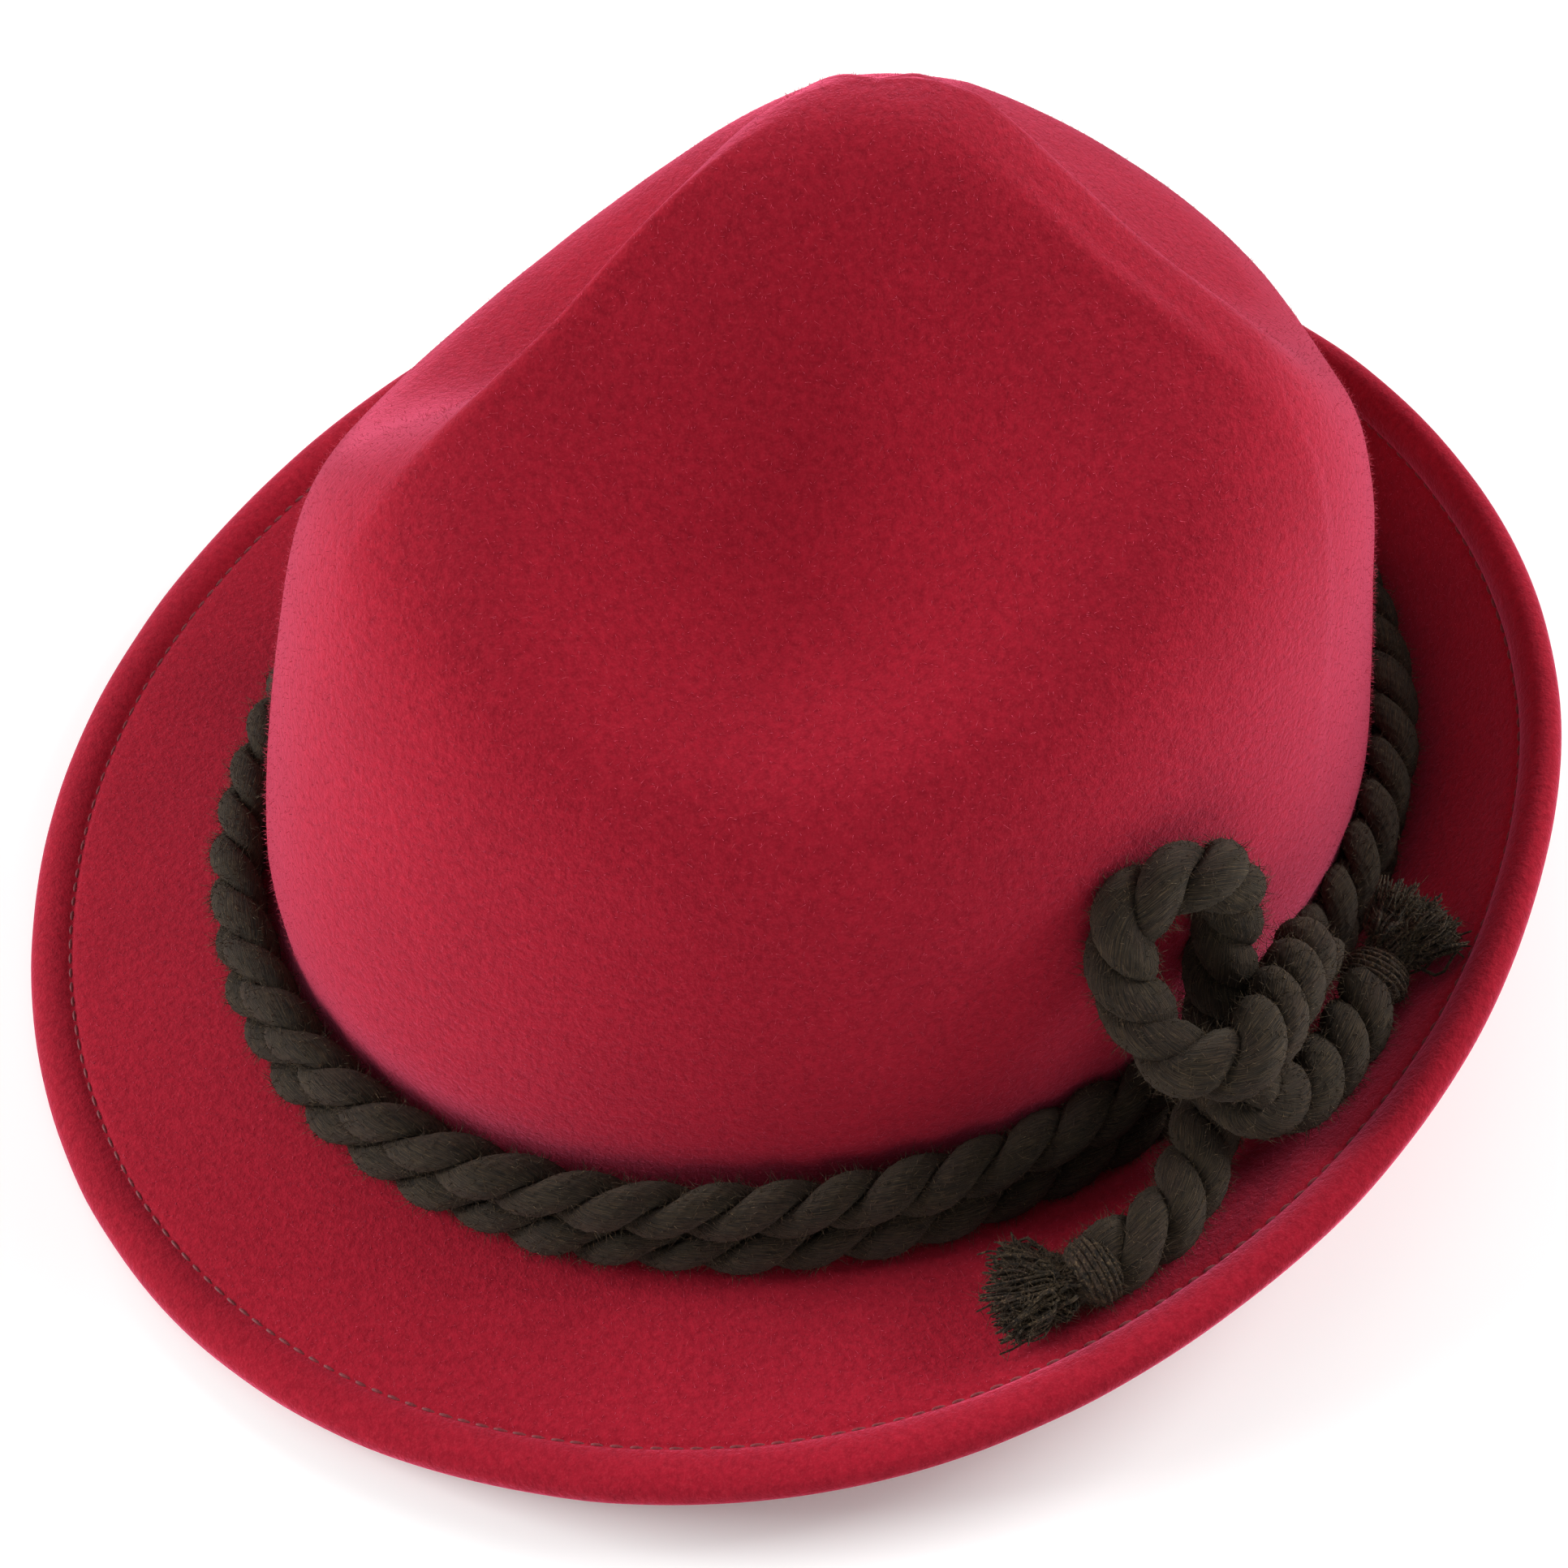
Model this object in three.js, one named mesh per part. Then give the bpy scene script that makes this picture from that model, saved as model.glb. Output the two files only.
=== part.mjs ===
// Felt hat with a three-cornered crown, a turned-up brim and a twisted cord tied in a bow.
// Units are millimetres, +Z is up, the wearer faces -Y and the wearer's left is +X.
import * as THREE from "three";

// ---------- driving dimensions ----------
const HALF_LENGTH = 103;      // foot of the crown, centre to front
const HALF_WIDTH = 87;        // foot of the crown, centre to side
const LEAN_SIDE = -8;         // how far the peak leans to the wearer's right
const LEAN_BACK = 11;         // how far the peak leans to the rear
const LEAN_FOOT = 30;         // the lean starts at this height
const LEAN_SPAN = 113;        // and is complete this much higher
const DENT_AZIMUTH = 47;      // deepest line of each side dent, degrees from the front
const REAR_AZIMUTH = 121.5;   // middle of each rear corner, degrees from the front
const BACK_AZIMUTH = 168;     // deepest line of the back dent, a little to the wearer's left
const BACK_HALF = 6.5;        // half width of the rounded back of each rear ridge
const BACK_LEAST = 4.5;       // its least half width in degrees
const BACK_MOST = 30;         // and its most, where the ridges meet at the peak
const FRONT_CREST = -2.5;     // the front fold lies this far to the wearer's right, degrees
const REAR_CREST = 3;         // the rear folds lie this far to the front of the corners, degrees
const FAR_DROP = 13;          // the right rear ridge sags by this much at most
const FAR_SETTLE = 5.2;       // and the whole right shoulder settles by this much at most
const SETTLE_FROM = 20;       // between these azimuths on the wearer's right, degrees
const SETTLE_TO = 138;
const FELT = 2.5;             // felt thickness
const REST_TILT = 3.6;        // front raised when the hat lies on its brim, degrees
const REST_LIFT = 3.7;        // lifts the foot of the crown off the table
const REST_FORWARD = 11;      // centres the outline over the origin, front to back
const CORD_RADIUS = 4.4;      // solid core of the twisted cord
const GAP = 0.35;             // air left between neighbouring pieces
const BRIM_CLEAR = 0.12;      // added over the brim, whose facets stand in from its curve
const AROUND = 80;            // facets round the hat
const CORD_SIDES = 10;        // facets round a cord
const TURN_SIDES = 16;        // facets round a binding or a tuft
const BOW_STEPS = 66;         // sections along the bow
const SIDE_STEPS = 16;        // sections along the side tail
const SPLIT_STATIONS = [9, 10, 15];   // stations followed by a ring of facets more
const SAG_REACH = 0.9;        // the right rear ridge sags from the peak out to this reach
const SEAT_FROM = 18;         // the lower turn is slid in from here along the brim
const SEAT_TIP = 60;          // the upper turn tips over the lower by this much at most, degrees
const SEAT_HALVINGS = 18;     // how finely a turn's seat is found
const WALL_ROWS = 7;          // crown points a turn of cord can touch
const WALL_RINGS = 4;         // brim points a turn of cord can touch

// Crown profiles from the peak down: reach as a share of the foot oval, and height.
const FRONT_RIDGE = [
  { reach: 0, height: 141.8 }, { reach: 0.09, height: 141.4 }, { reach: 0.17, height: 139.9 },
  { reach: 0.25, height: 137.2 }, { reach: 0.33, height: 132.8 }, { reach: 0.42, height: 126.5 },
  { reach: 0.51, height: 119.5 }, { reach: 0.6, height: 114 }, { reach: 0.69, height: 108.5 },
  { reach: 0.77, height: 102 }, { reach: 0.835, height: 93 }, { reach: 0.885, height: 79 },
  { reach: 0.93, height: 61 }, { reach: 0.975, height: 41 }, { reach: 1.01, height: 22 },
  { reach: 1.015, height: 5 },
];
const REAR_RIDGE = [
  { reach: 0, height: 141.8 }, { reach: 0.09, height: 141.2 }, { reach: 0.17, height: 139 },
  { reach: 0.25, height: 134.8 }, { reach: 0.34, height: 130 }, { reach: 0.43, height: 125.4 },
  { reach: 0.52, height: 122 }, { reach: 0.61, height: 118.8 }, { reach: 0.7, height: 114.8 },
  { reach: 0.78, height: 108.5 }, { reach: 0.845, height: 98.3 }, { reach: 0.895, height: 83 },
  { reach: 0.935, height: 63 }, { reach: 0.97, height: 42 }, { reach: 1, height: 22 },
  { reach: 1.01, height: 5 },
];
const SIDE_DENT = [
  { reach: 0, height: 141.8 }, { reach: 0.06, height: 141.5 }, { reach: 0.11, height: 139.9 },
  { reach: 0.17, height: 134.8 }, { reach: 0.24, height: 123.5 }, { reach: 0.32, height: 108.8 },
  { reach: 0.41, height: 95.8 }, { reach: 0.51, height: 87.8 }, { reach: 0.62, height: 83.6 },
  { reach: 0.73, height: 81.5 }, { reach: 0.82, height: 79.2 }, { reach: 0.885, height: 73 },
  { reach: 0.93, height: 57 }, { reach: 0.965, height: 38 }, { reach: 0.99, height: 20 },
  { reach: 1, height: 5 },
];
const BACK_DENT = [
  { reach: 0, height: 141.8 }, { reach: 0.06, height: 141 }, { reach: 0.11, height: 138 },
  { reach: 0.17, height: 132.8 }, { reach: 0.24, height: 124 }, { reach: 0.32, height: 114 },
  { reach: 0.41, height: 104 }, { reach: 0.51, height: 98 }, { reach: 0.62, height: 93.3 },
  { reach: 0.72, height: 88.7 }, { reach: 0.81, height: 80.4 }, { reach: 0.875, height: 67.8 },
  { reach: 0.925, height: 51.5 }, { reach: 0.965, height: 35 }, { reach: 0.99, height: 19 },
  { reach: 1, height: 5 },
];
// How the dents leave the folds at each station: how softly the fall starts, and how directly it
// goes on beside the front fold and on the sides and backs of the rear folds, from 1 at once to 0
// in a rounded shoulder. The last column is the share of the right shoulder's settling.
const BLEND = [
  { soft: 0.3, front: 1, rear: 1, back: 1, settled: 0 },
  { soft: 0.3, front: 1, rear: 1, back: 1, settled: 0.08 },
  { soft: 0.3, front: 1, rear: 1, back: 1, settled: 0.3 },
  { soft: 0.2, front: 1, rear: 1, back: 1, settled: 0.4 },
  { soft: 0.12, front: 1, rear: 0.8, back: 1, settled: 0.5 },
  { soft: 0.1, front: 1, rear: 0.6, back: 1, settled: 0.8 },
  { soft: 0.1, front: 1, rear: 0.5, back: 1, settled: 1 },
  { soft: 0.12, front: 1, rear: 0.4, back: 1, settled: 1 },
  { soft: 0.2, front: 0.8, rear: 0.3, back: 0.9, settled: 1 },
  { soft: 0.35, front: 0.5, rear: 0.2, back: 0.7, settled: 1 },
  { soft: 0.5, front: 0.3, rear: 0.1, back: 0.5, settled: 1 },
  { soft: 0.7, front: 0.3, rear: 0.2, back: 0.4, settled: 0.9 },
  { soft: 1, front: 0.6, rear: 0.6, back: 0.6, settled: 0.6 },
  { soft: 1, front: 1, rear: 1, back: 1, settled: 0.25 },
  { soft: 1, front: 1, rear: 1, back: 1, settled: 0 },
  { soft: 1, front: 1, rear: 1, back: 1, settled: 0 },
];

// Brim: mean slope by azimuth, width along the felt, and how much the slope grows outward.
const BRIM_WIDTH = 48;
const BRIM_CURL = 0.25;
const BRIM_SLOPE = [
  { azimuth: 0, slope: -12.5 }, { azimuth: 45, slope: 2 }, { azimuth: 90, slope: 29.5 },
  { azimuth: 135, slope: 54 }, { azimuth: 180, slope: 67 },
];
// Brim rings: distance along the felt, height off its upper face. The last ones roll round the edge.
const BRIM_TOP = [
  { along: 6, off: 0 }, { along: 10, off: 0 }, { along: 16, off: 0 }, { along: 23, off: 0 },
  { along: 30, off: 0 }, { along: 36, off: 0 }, { along: 38.8, off: 0 }, { along: 39.9, off: -0.5 },
  { along: 41.2, off: 0.4 }, { along: 43.6, off: 0.9 }, { along: 46.2, off: 0.5 },
  { along: 47.5, off: -0.6 }, { along: 48, off: -1.9 },
];
const BRIM_UNDER = [
  { along: 47.5, off: -3.2 }, { along: 46.2, off: -4.2 }, { along: 43.6, off: -4.5 },
  { along: 40.6, off: -4.0 }, { along: 38.9, off: -2.6 }, { along: 34, off: -2.5 },
  { along: 26, off: -2.5 }, { along: 18, off: -2.5 }, { along: 11, off: -2.5 },
];

// Bow: the cord leaves the band, crosses over itself, loops up against the crown, comes down
// behind the crossing and ends as the front tail on the brim. The side tail leaves the crossing.
const BOW_ROUTE = [
  { x: 90, y: 47, z: 30 }, { x: 94, y: 41, z: 35 }, { x: 99, y: 33, z: 39 },
  { x: 104, y: 25, z: 42 }, { x: 106, y: 18, z: 43 }, { x: 103, y: 12.5, z: 42 },
  { x: 98, y: 10, z: 43 }, { x: 92.5, y: 9, z: 47 }, { x: 88.5, y: 8.5, z: 54 },
  { x: 85.5, y: 11, z: 60.5 }, { x: 85, y: 17.5, z: 63.5 }, { x: 86.5, y: 25, z: 62.5 },
  { x: 86.5, y: 29.5, z: 57.5 }, { x: 86.5, y: 31, z: 50.5 }, { x: 88, y: 29.5, z: 43 },
  { x: 90, y: 27.5, z: 35.5 }, { x: 95, y: 24.5, z: 30 }, { x: 100, y: 20, z: 26 },
  { x: 106, y: 13, z: 23 }, { x: 111, y: 6, z: 23 }, { x: 114, y: -1, z: 23 },
  { x: 114, y: -9, z: 22 },
];
const SIDE_ROUTE = [
  { x: 107, y: 18, z: 34 }, { x: 109, y: 24, z: 29 }, { x: 108.5, y: 30, z: 26 },
  { x: 106.8, y: 37, z: 24 }, { x: 104, y: 44, z: 24 }, { x: 100, y: 50.7, z: 24 },
];

// Bound ends of the two tails and their frayed tufts: start, end, and the way the tuft spreads.
const FRONT_BINDING = { from: { x: 114, y: -9.7, z: 21.9 }, to: { x: 113.6, y: -16.6, z: 21 } };
const SIDE_BINDING = { from: { x: 99.5, y: 51.5, z: 24.1 }, to: { x: 96.3, y: 57.8, z: 25 } };
const BINDING_RADIUS = 4.9;
const FRONT_TUFT = {
  from: { x: 113, y: -18.2, z: 20.8 }, to: { x: 108, y: -26.5, z: 19 }, spread: { x: 16, y: -8, z: 6 },
};
const SIDE_TUFT = {
  from: { x: 95.9, y: 59.2, z: 25.7 }, to: { x: 94.4, y: 67.7, z: 29.2 }, spread: { x: 16, y: 3, z: 4 },
};
const TUFT_HALF_WIDTH = 9.5;
const TUFT_HALF_DEPTH = 4;
// Outlines from the start to the end, as shares of the half width and of the length.
const BINDING_OUTLINE = [
  { out: 0, up: 0 }, { out: 0.84, up: 0 }, { out: 0.97, up: 0.2 }, { out: 1, up: 0.5 },
  { out: 0.97, up: 0.8 }, { out: 0.84, up: 1 }, { out: 0, up: 1 },
];
const TUFT_OUTLINE = [
  { out: 0, up: 0 }, { out: 0.22, up: 0 }, { out: 0.5, up: 0.14 }, { out: 0.84, up: 0.48 },
  { out: 1, up: 0.78 }, { out: 0.88, up: 0.95 }, { out: 0, up: 1 },
];

// ---------- small helpers ----------
const rad = (degrees) => degrees * Math.PI / 180;
const clamp = (v, lo, hi) => Math.min(hi, Math.max(lo, v));

function footRadius(azimuth) {
  const a = HALF_WIDTH * Math.cos(azimuth);
  const b = HALF_LENGTH * Math.sin(azimuth);
  return HALF_LENGTH * HALF_WIDTH / Math.hypot(a, b);
}

function footPoint(azimuth) {
  const r = footRadius(azimuth);
  return new THREE.Vector2(r * Math.sin(azimuth), -r * Math.cos(azimuth));
}

function footNormal(azimuth) {
  const p = footPoint(azimuth);
  return new THREE.Vector2(p.x / HALF_WIDTH ** 2, p.y / HALF_LENGTH ** 2).normalize();
}

function lean(height) {
  const u = clamp((height - LEAN_FOOT) / LEAN_SPAN, 0, 1);
  return 0.4 * u + 0.6 * u * u * (3 - 2 * u);
}

// Smooth even curve through the slope table: flat at 0 and 180 degrees.
function brimSlope(azimuth) {
  const a = Math.abs(azimuth) * 180 / Math.PI;
  const rows = BRIM_SLOPE;
  const i = clamp(Math.floor(a / 45), 0, 3);
  const grade = (k) => {
    if (k === 0 || k === 4) return 0;
    const before = rows[k].slope - rows[k - 1].slope;
    const after = rows[k + 1].slope - rows[k].slope;
    return 2 * before * after / (before + after);
  };
  const t = (a - rows[i].azimuth) / 45;
  const h1 = 2 * t ** 3 - 3 * t ** 2 + 1;
  const h2 = t ** 3 - 2 * t ** 2 + t;
  const h3 = -2 * t ** 3 + 3 * t ** 2;
  const h4 = t ** 3 - t ** 2;
  return h1 * rows[i].slope + h2 * grade(i) + h3 * rows[i + 1].slope + h4 * grade(i + 1);
}

// A point of the brim, by distance along the felt and height off its upper face.
function brimPoint(azimuth, along, off) {
  const mean = brimSlope(azimuth);
  const steps = 12;
  let out = 0;
  let up = 0;
  let slope = 0;
  for (let i = 0; i < steps; i++) {
    const share = (i + 0.5) / steps * along / BRIM_WIDTH;
    slope = rad(mean * (1 + (2 * share - 1) * BRIM_CURL));
    out += along / steps * Math.cos(slope);
    up += along / steps * Math.sin(slope);
  }
  const foot = footPoint(azimuth);
  const n = footNormal(azimuth);
  const o = out - off * Math.sin(slope);
  return new THREE.Vector3(foot.x + n.x * o, foot.y + n.y * o, up + off * Math.cos(slope));
}

// Half width of a ridge's rounded back in degrees, at its distance from the middle.
function backAngle(distance) {
  const share = BACK_HALF / Math.max(distance, BACK_HALF);
  return clamp(Math.asin(share) * 180 / Math.PI, BACK_LEAST, BACK_MOST);
}

// One station of the crown, dents blended into ridges round the azimuth.
function crownPoint(azimuth, station) {
  const signed = azimuth * 180 / Math.PI;
  const a = Math.abs(signed);
  const onRight = signed < 0 || signed > BACK_AZIMUTH;
  const rearBack = backAngle(footRadius(rad(REAR_AZIMUTH)) * REAR_RIDGE[station].reach);
  const foldBack = REAR_CREST * rearBack / BACK_LEAST;
  let ridge = REAR_RIDGE[station];
  let dent = SIDE_DENT[station];
  let crisp = BLEND[station].rear;
  let sag = onRight ? FAR_DROP : 0;
  let t = 0;
  if (a <= DENT_AZIMUTH) {
    const crest = signed > FRONT_CREST ? FRONT_CREST : -FRONT_CREST;
    ridge = FRONT_RIDGE[station];
    crisp = BLEND[station].front;
    sag = 0;
    t = ((signed > FRONT_CREST ? signed : a) - crest) / (DENT_AZIMUTH - crest);
  } else if (a <= REAR_AZIMUTH) {
    t = (REAR_AZIMUTH - foldBack - a) / (REAR_AZIMUTH - foldBack - DENT_AZIMUTH);
  } else {
    const from = signed > BACK_AZIMUTH ? 360 - signed : a;
    const middle = onRight ? 360 - BACK_AZIMUTH : BACK_AZIMUTH;
    dent = BACK_DENT[station];
    crisp = BLEND[station].back;
    t = (from - REAR_AZIMUTH - rearBack) / (middle - REAR_AZIMUTH - rearBack);
  }
  const drop = sag * Math.sin(Math.PI * clamp(ridge.reach / SAG_REACH, 0, 1));
  const settle = Math.sin(Math.PI * clamp((-signed - SETTLE_FROM) / (SETTLE_TO - SETTLE_FROM), 0, 1));
  const e = BLEND[station].soft / 2;
  const ramp = clamp((t + Math.hypot(t, e)) / (1 + Math.hypot(1, e)), 0, 1);
  const b = crisp * Math.sin(Math.PI / 2 * ramp) + (1 - crisp) * ramp ** 2 * (3 - 2 * ramp);
  const reach = ridge.reach * (1 - b) + dent.reach * b;
  const settled = FAR_SETTLE * BLEND[station].settled * settle;
  const height = (ridge.height - drop) * (1 - b) + dent.height * b - settled;
  const r = footRadius(azimuth) * reach;
  const u = lean(height);
  return new THREE.Vector3(
    r * Math.sin(azimuth) + LEAN_SIDE * u,
    -r * Math.cos(azimuth) + LEAN_BACK * u,
    height,
  );
}

// Centripetal curve through the stations; returns the point a share t past station i.
function along(points, i, t) {
  const p1 = points[i];
  const p2 = points[Math.min(i + 1, points.length - 1)];
  const p0 = i > 0 ? points[i - 1] : p1.clone().multiplyScalar(2).sub(p2);
  const p3 = i + 2 < points.length ? points[i + 2] : p2.clone().multiplyScalar(2).sub(p1);
  const d1 = Math.max(Math.sqrt(p0.distanceTo(p1)), 1e-4);
  const d2 = Math.max(Math.sqrt(p1.distanceTo(p2)), 1e-4);
  const d3 = Math.max(Math.sqrt(p2.distanceTo(p3)), 1e-4);
  const m1 = new THREE.Vector3();
  const m2 = new THREE.Vector3();
  for (const k of ["x", "y", "z"]) {
    m1[k] = ((p1[k] - p0[k]) / d1 - (p2[k] - p0[k]) / (d1 + d2) + (p2[k] - p1[k]) / d2) * d2;
    m2[k] = ((p2[k] - p1[k]) / d2 - (p3[k] - p1[k]) / (d2 + d3) + (p3[k] - p2[k]) / d3) * d2;
  }
  return new THREE.Vector3()
    .addScaledVector(p1, 2 * t ** 3 - 3 * t ** 2 + 1)
    .addScaledVector(m1, t ** 3 - 2 * t ** 2 + t)
    .addScaledVector(p2, -2 * t ** 3 + 3 * t ** 2)
    .addScaledVector(m2, t ** 3 - t ** 2);
}

// From the shape's own frame to the hat at rest on the table.
function atRest(p) {
  const c = Math.cos(rad(REST_TILT));
  const s = Math.sin(rad(REST_TILT));
  return new THREE.Vector3(p.x, p.y * c + p.z * s + REST_FORWARD, -p.y * s + p.z * c + REST_LIFT);
}

// ---------- felt body ----------
// Outer face of the crown at one azimuth, from just under the peak to the foot.
function crownColumn(azimuth) {
  const split = (i) => (SPLIT_STATIONS.includes(i) ? 2 : 1);
  const stations = FRONT_RIDGE.map((_, i) => crownPoint(azimuth, i));
  stations.push(...BRIM_TOP.slice(0, 2).map((q) => brimPoint(azimuth, q.along, q.off)));
  const column = [];
  for (let i = 0; i < FRONT_RIDGE.length; i++) {
    for (let k = 0; k < split(i); k++) {
      column.push(along(stations, i, k / split(i)));
    }
  }
  return column;
}

function feltBody() {
  const azimuths = Array.from({ length: AROUND }, (_, i) => -Math.PI + 2 * Math.PI * i / AROUND);
  const outer = azimuths.map((a) => crownColumn(a).slice(1));
  const rows = outer[0].length;
  const peak = crownPoint(0, 0);
  // Inner face: the outer one moved in along its normal by the felt thickness.
  const inner = azimuths.map((_, i) => outer[i].map((p, j) => {
    const left = outer[(i + AROUND - 1) % AROUND][j];
    const right = outer[(i + 1) % AROUND][j];
    const above = j > 0 ? outer[i][j - 1] : peak;
    const below = j + 1 < rows ? outer[i][j + 1] : brimPoint(azimuths[i], BRIM_TOP[0].along, 0);
    const n = right.clone().sub(left).cross(above.clone().sub(below)).normalize();
    return p.clone().addScaledVector(n, -FELT);
  }));
  const rings = [];
  for (let j = 0; j < rows; j++) rings.push(azimuths.map((_, i) => outer[i][j]));
  for (const q of BRIM_TOP) rings.push(azimuths.map((a) => brimPoint(a, q.along, q.off)));
  for (const q of BRIM_UNDER) rings.push(azimuths.map((a) => brimPoint(a, q.along, q.off)));
  for (let j = rows - 1; j >= 0; j--) rings.push(azimuths.map((_, i) => inner[i][j]));
  const points = [peak, ...rings.flat(), peak.clone().add(new THREE.Vector3(0, 0, -FELT))];
  const position = [];
  for (const p of points) {
    const q = atRest(p);
    position.push(q.x, q.y, Math.max(q.z, 0));
  }
  const index = [];
  const at = (ring, i) => 1 + ring * AROUND + (i % AROUND);
  const last = rings.length - 1;
  for (let i = 0; i < AROUND; i++) {
    index.push(0, at(0, i), at(0, i + 1));
    for (let j = 0; j < last; j++) {
      index.push(at(j, i), at(j + 1, i), at(j + 1, i + 1));
      index.push(at(j, i), at(j + 1, i + 1), at(j, i + 1));
    }
    index.push(points.length - 1, at(last, i + 1), at(last, i));
  }
  const geometry = new THREE.BufferGeometry();
  geometry.setAttribute("position", new THREE.Float32BufferAttribute(position, 3));
  geometry.setIndex(index);
  return geometry;
}

// ---------- band ----------
// Slides a point from a share of 0, clear of the wall, towards 1 until it is only that clear.
function slide(wall, clear, place) {
  const nearest = (p) => Math.min(...wall.slice(1).map((end, i) => {
    return new THREE.Line3(wall[i], end).closestPointToPoint(p, true, new THREE.Vector3()).distanceTo(p);
  }));
  let free = 0;
  let shut = 1;
  for (let k = 0; k < SEAT_HALVINGS; k++) {
    const middle = (free + shut) / 2;
    if (nearest(place(middle)) < clear) shut = middle;
    else free = middle;
  }
  return place(free);
}

// Centres of the cord's two turns: the lower lies on the brim, the upper on it and against the crown.
function bandSeat(azimuth) {
  const clear = CORD_RADIUS + GAP;
  const wall = [
    ...crownColumn(azimuth).slice(-WALL_ROWS),
    ...BRIM_TOP.slice(0, WALL_RINGS).map((q) => brimPoint(azimuth, q.along, q.off)),
  ];
  const lower = slide(wall, clear, (t) => brimPoint(azimuth, SEAT_FROM * (1 - t), clear + BRIM_CLEAR));
  const n = footNormal(azimuth);
  const upper = slide(wall, clear, (t) => {
    const tip = rad(SEAT_TIP * t);
    const step = new THREE.Vector3(-n.x * Math.sin(tip), -n.y * Math.sin(tip), Math.cos(tip));
    return lower.clone().addScaledVector(step, 2 * CORD_RADIUS + GAP);
  });
  return { lower, upper };
}

// One turn of cord round the crown, as a closed tube.
function bandTurn(which) {
  const up = new THREE.Vector3(0, 0, 1);
  const azimuths = Array.from({ length: AROUND }, (_, i) => -Math.PI + 2 * Math.PI * i / AROUND);
  const centres = azimuths.map((azimuth) => bandSeat(azimuth)[which]);
  const position = [];
  const index = [];
  for (let i = 0; i < AROUND; i++) {
    const ahead = centres[(i + 1) % AROUND].clone().sub(centres[(i + AROUND - 1) % AROUND]).normalize();
    const out = ahead.clone().cross(up).normalize();
    const over = out.clone().cross(ahead);
    for (let k = 0; k < CORD_SIDES; k++) {
      const turn = 2 * Math.PI * k / CORD_SIDES;
      const p = centres[i].clone()
        .addScaledVector(out, CORD_RADIUS * Math.cos(turn))
        .addScaledVector(over, CORD_RADIUS * Math.sin(turn));
      position.push(...atRest(p).toArray());
      const a = i * CORD_SIDES + k;
      const b = i * CORD_SIDES + (k + 1) % CORD_SIDES;
      const c = ((i + 1) % AROUND) * CORD_SIDES + k;
      const d = ((i + 1) % AROUND) * CORD_SIDES + (k + 1) % CORD_SIDES;
      index.push(a, c, d, a, d, b);
    }
  }
  const geometry = new THREE.BufferGeometry();
  geometry.setAttribute("position", new THREE.Float32BufferAttribute(position, 3));
  geometry.setIndex(index);
  return geometry;
}

// ---------- bow ----------
function freeCord(route, steps) {
  const knots = route.map((p) => new THREE.Vector3(p.x, p.y, p.z));
  const extrudePath = new THREE.CatmullRomCurve3(knots, false, "centripetal");
  const corners = Array.from({ length: CORD_SIDES }, (_, k) => {
    const turn = 2 * Math.PI * k / CORD_SIDES;
    return new THREE.Vector2(CORD_RADIUS * Math.cos(turn), CORD_RADIUS * Math.sin(turn));
  });
  const section = new THREE.Shape(corners);
  return new THREE.ExtrudeGeometry(section, { steps, bevelEnabled: false, extrudePath });
}

// A turned outline laid from one point to another, wide along its spread and less so across it.
function turned(outline, end, halfWidth, halfDepth) {
  const from = new THREE.Vector3(end.from.x, end.from.y, end.from.z);
  const axis = new THREE.Vector3(end.to.x, end.to.y, end.to.z).sub(from);
  const long = axis.length();
  axis.normalize();
  const spread = end.spread ?? { x: 1, y: 0, z: 0 };
  const wide = new THREE.Vector3(spread.x, spread.y, spread.z);
  wide.addScaledVector(axis, -wide.dot(axis)).normalize();
  const deep = wide.clone().cross(axis);
  const geometry = new THREE.LatheGeometry(outline.map((q) => new THREE.Vector2(q.out, q.up)), TURN_SIDES);
  const frame = new THREE.Matrix4().makeBasis(
    wide.multiplyScalar(halfWidth),
    axis.multiplyScalar(long),
    deep.multiplyScalar(halfDepth),
  );
  return geometry.applyMatrix4(frame.setPosition(from));
}

function piece(name, geometry, color, roughness) {
  const material = new THREE.MeshStandardMaterial({ color, roughness, metalness: 0 });
  const mesh = new THREE.Mesh(geometry, material);
  mesh.name = name;
  return mesh;
}

const hat = new THREE.Group();
hat.name = "felt_hat";
hat.add(piece("felt_body", feltBody(), 0xa81c30, 0.95));
hat.add(piece("band_cord_lower", bandTurn("lower"), 0x3a3226, 0.9));
hat.add(piece("band_cord_upper", bandTurn("upper"), 0x3a3226, 0.9));
hat.add(piece("bow_cord", freeCord(BOW_ROUTE, BOW_STEPS), 0x3a3226, 0.9));
hat.add(piece("side_tail_cord", freeCord(SIDE_ROUTE, SIDE_STEPS), 0x3a3226, 0.9));
for (const [name, end] of [["front_tail_binding", FRONT_BINDING], ["side_tail_binding", SIDE_BINDING]]) {
  hat.add(piece(name, turned(BINDING_OUTLINE, end, BINDING_RADIUS, BINDING_RADIUS), 0x3c332b, 0.9));
}
for (const [name, end] of [["front_tail_tuft", FRONT_TUFT], ["side_tail_tuft", SIDE_TUFT]]) {
  hat.add(piece(name, turned(TUFT_OUTLINE, end, TUFT_HALF_WIDTH, TUFT_HALF_DEPTH), 0x40352f, 0.95));
}
export default hat;
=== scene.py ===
"""Felt hat with a three-cornered crown, a folded brim edge and a twisted cord tied in a half bow.

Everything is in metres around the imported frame: +Z is up, the wearer faces -Y and the wearer's left is +X.
The shape tables are in millimetres, as a hatter would write them down.
"""

import math

import bpy
import numpy as np
from mathutils import Matrix, Vector, noise


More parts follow.
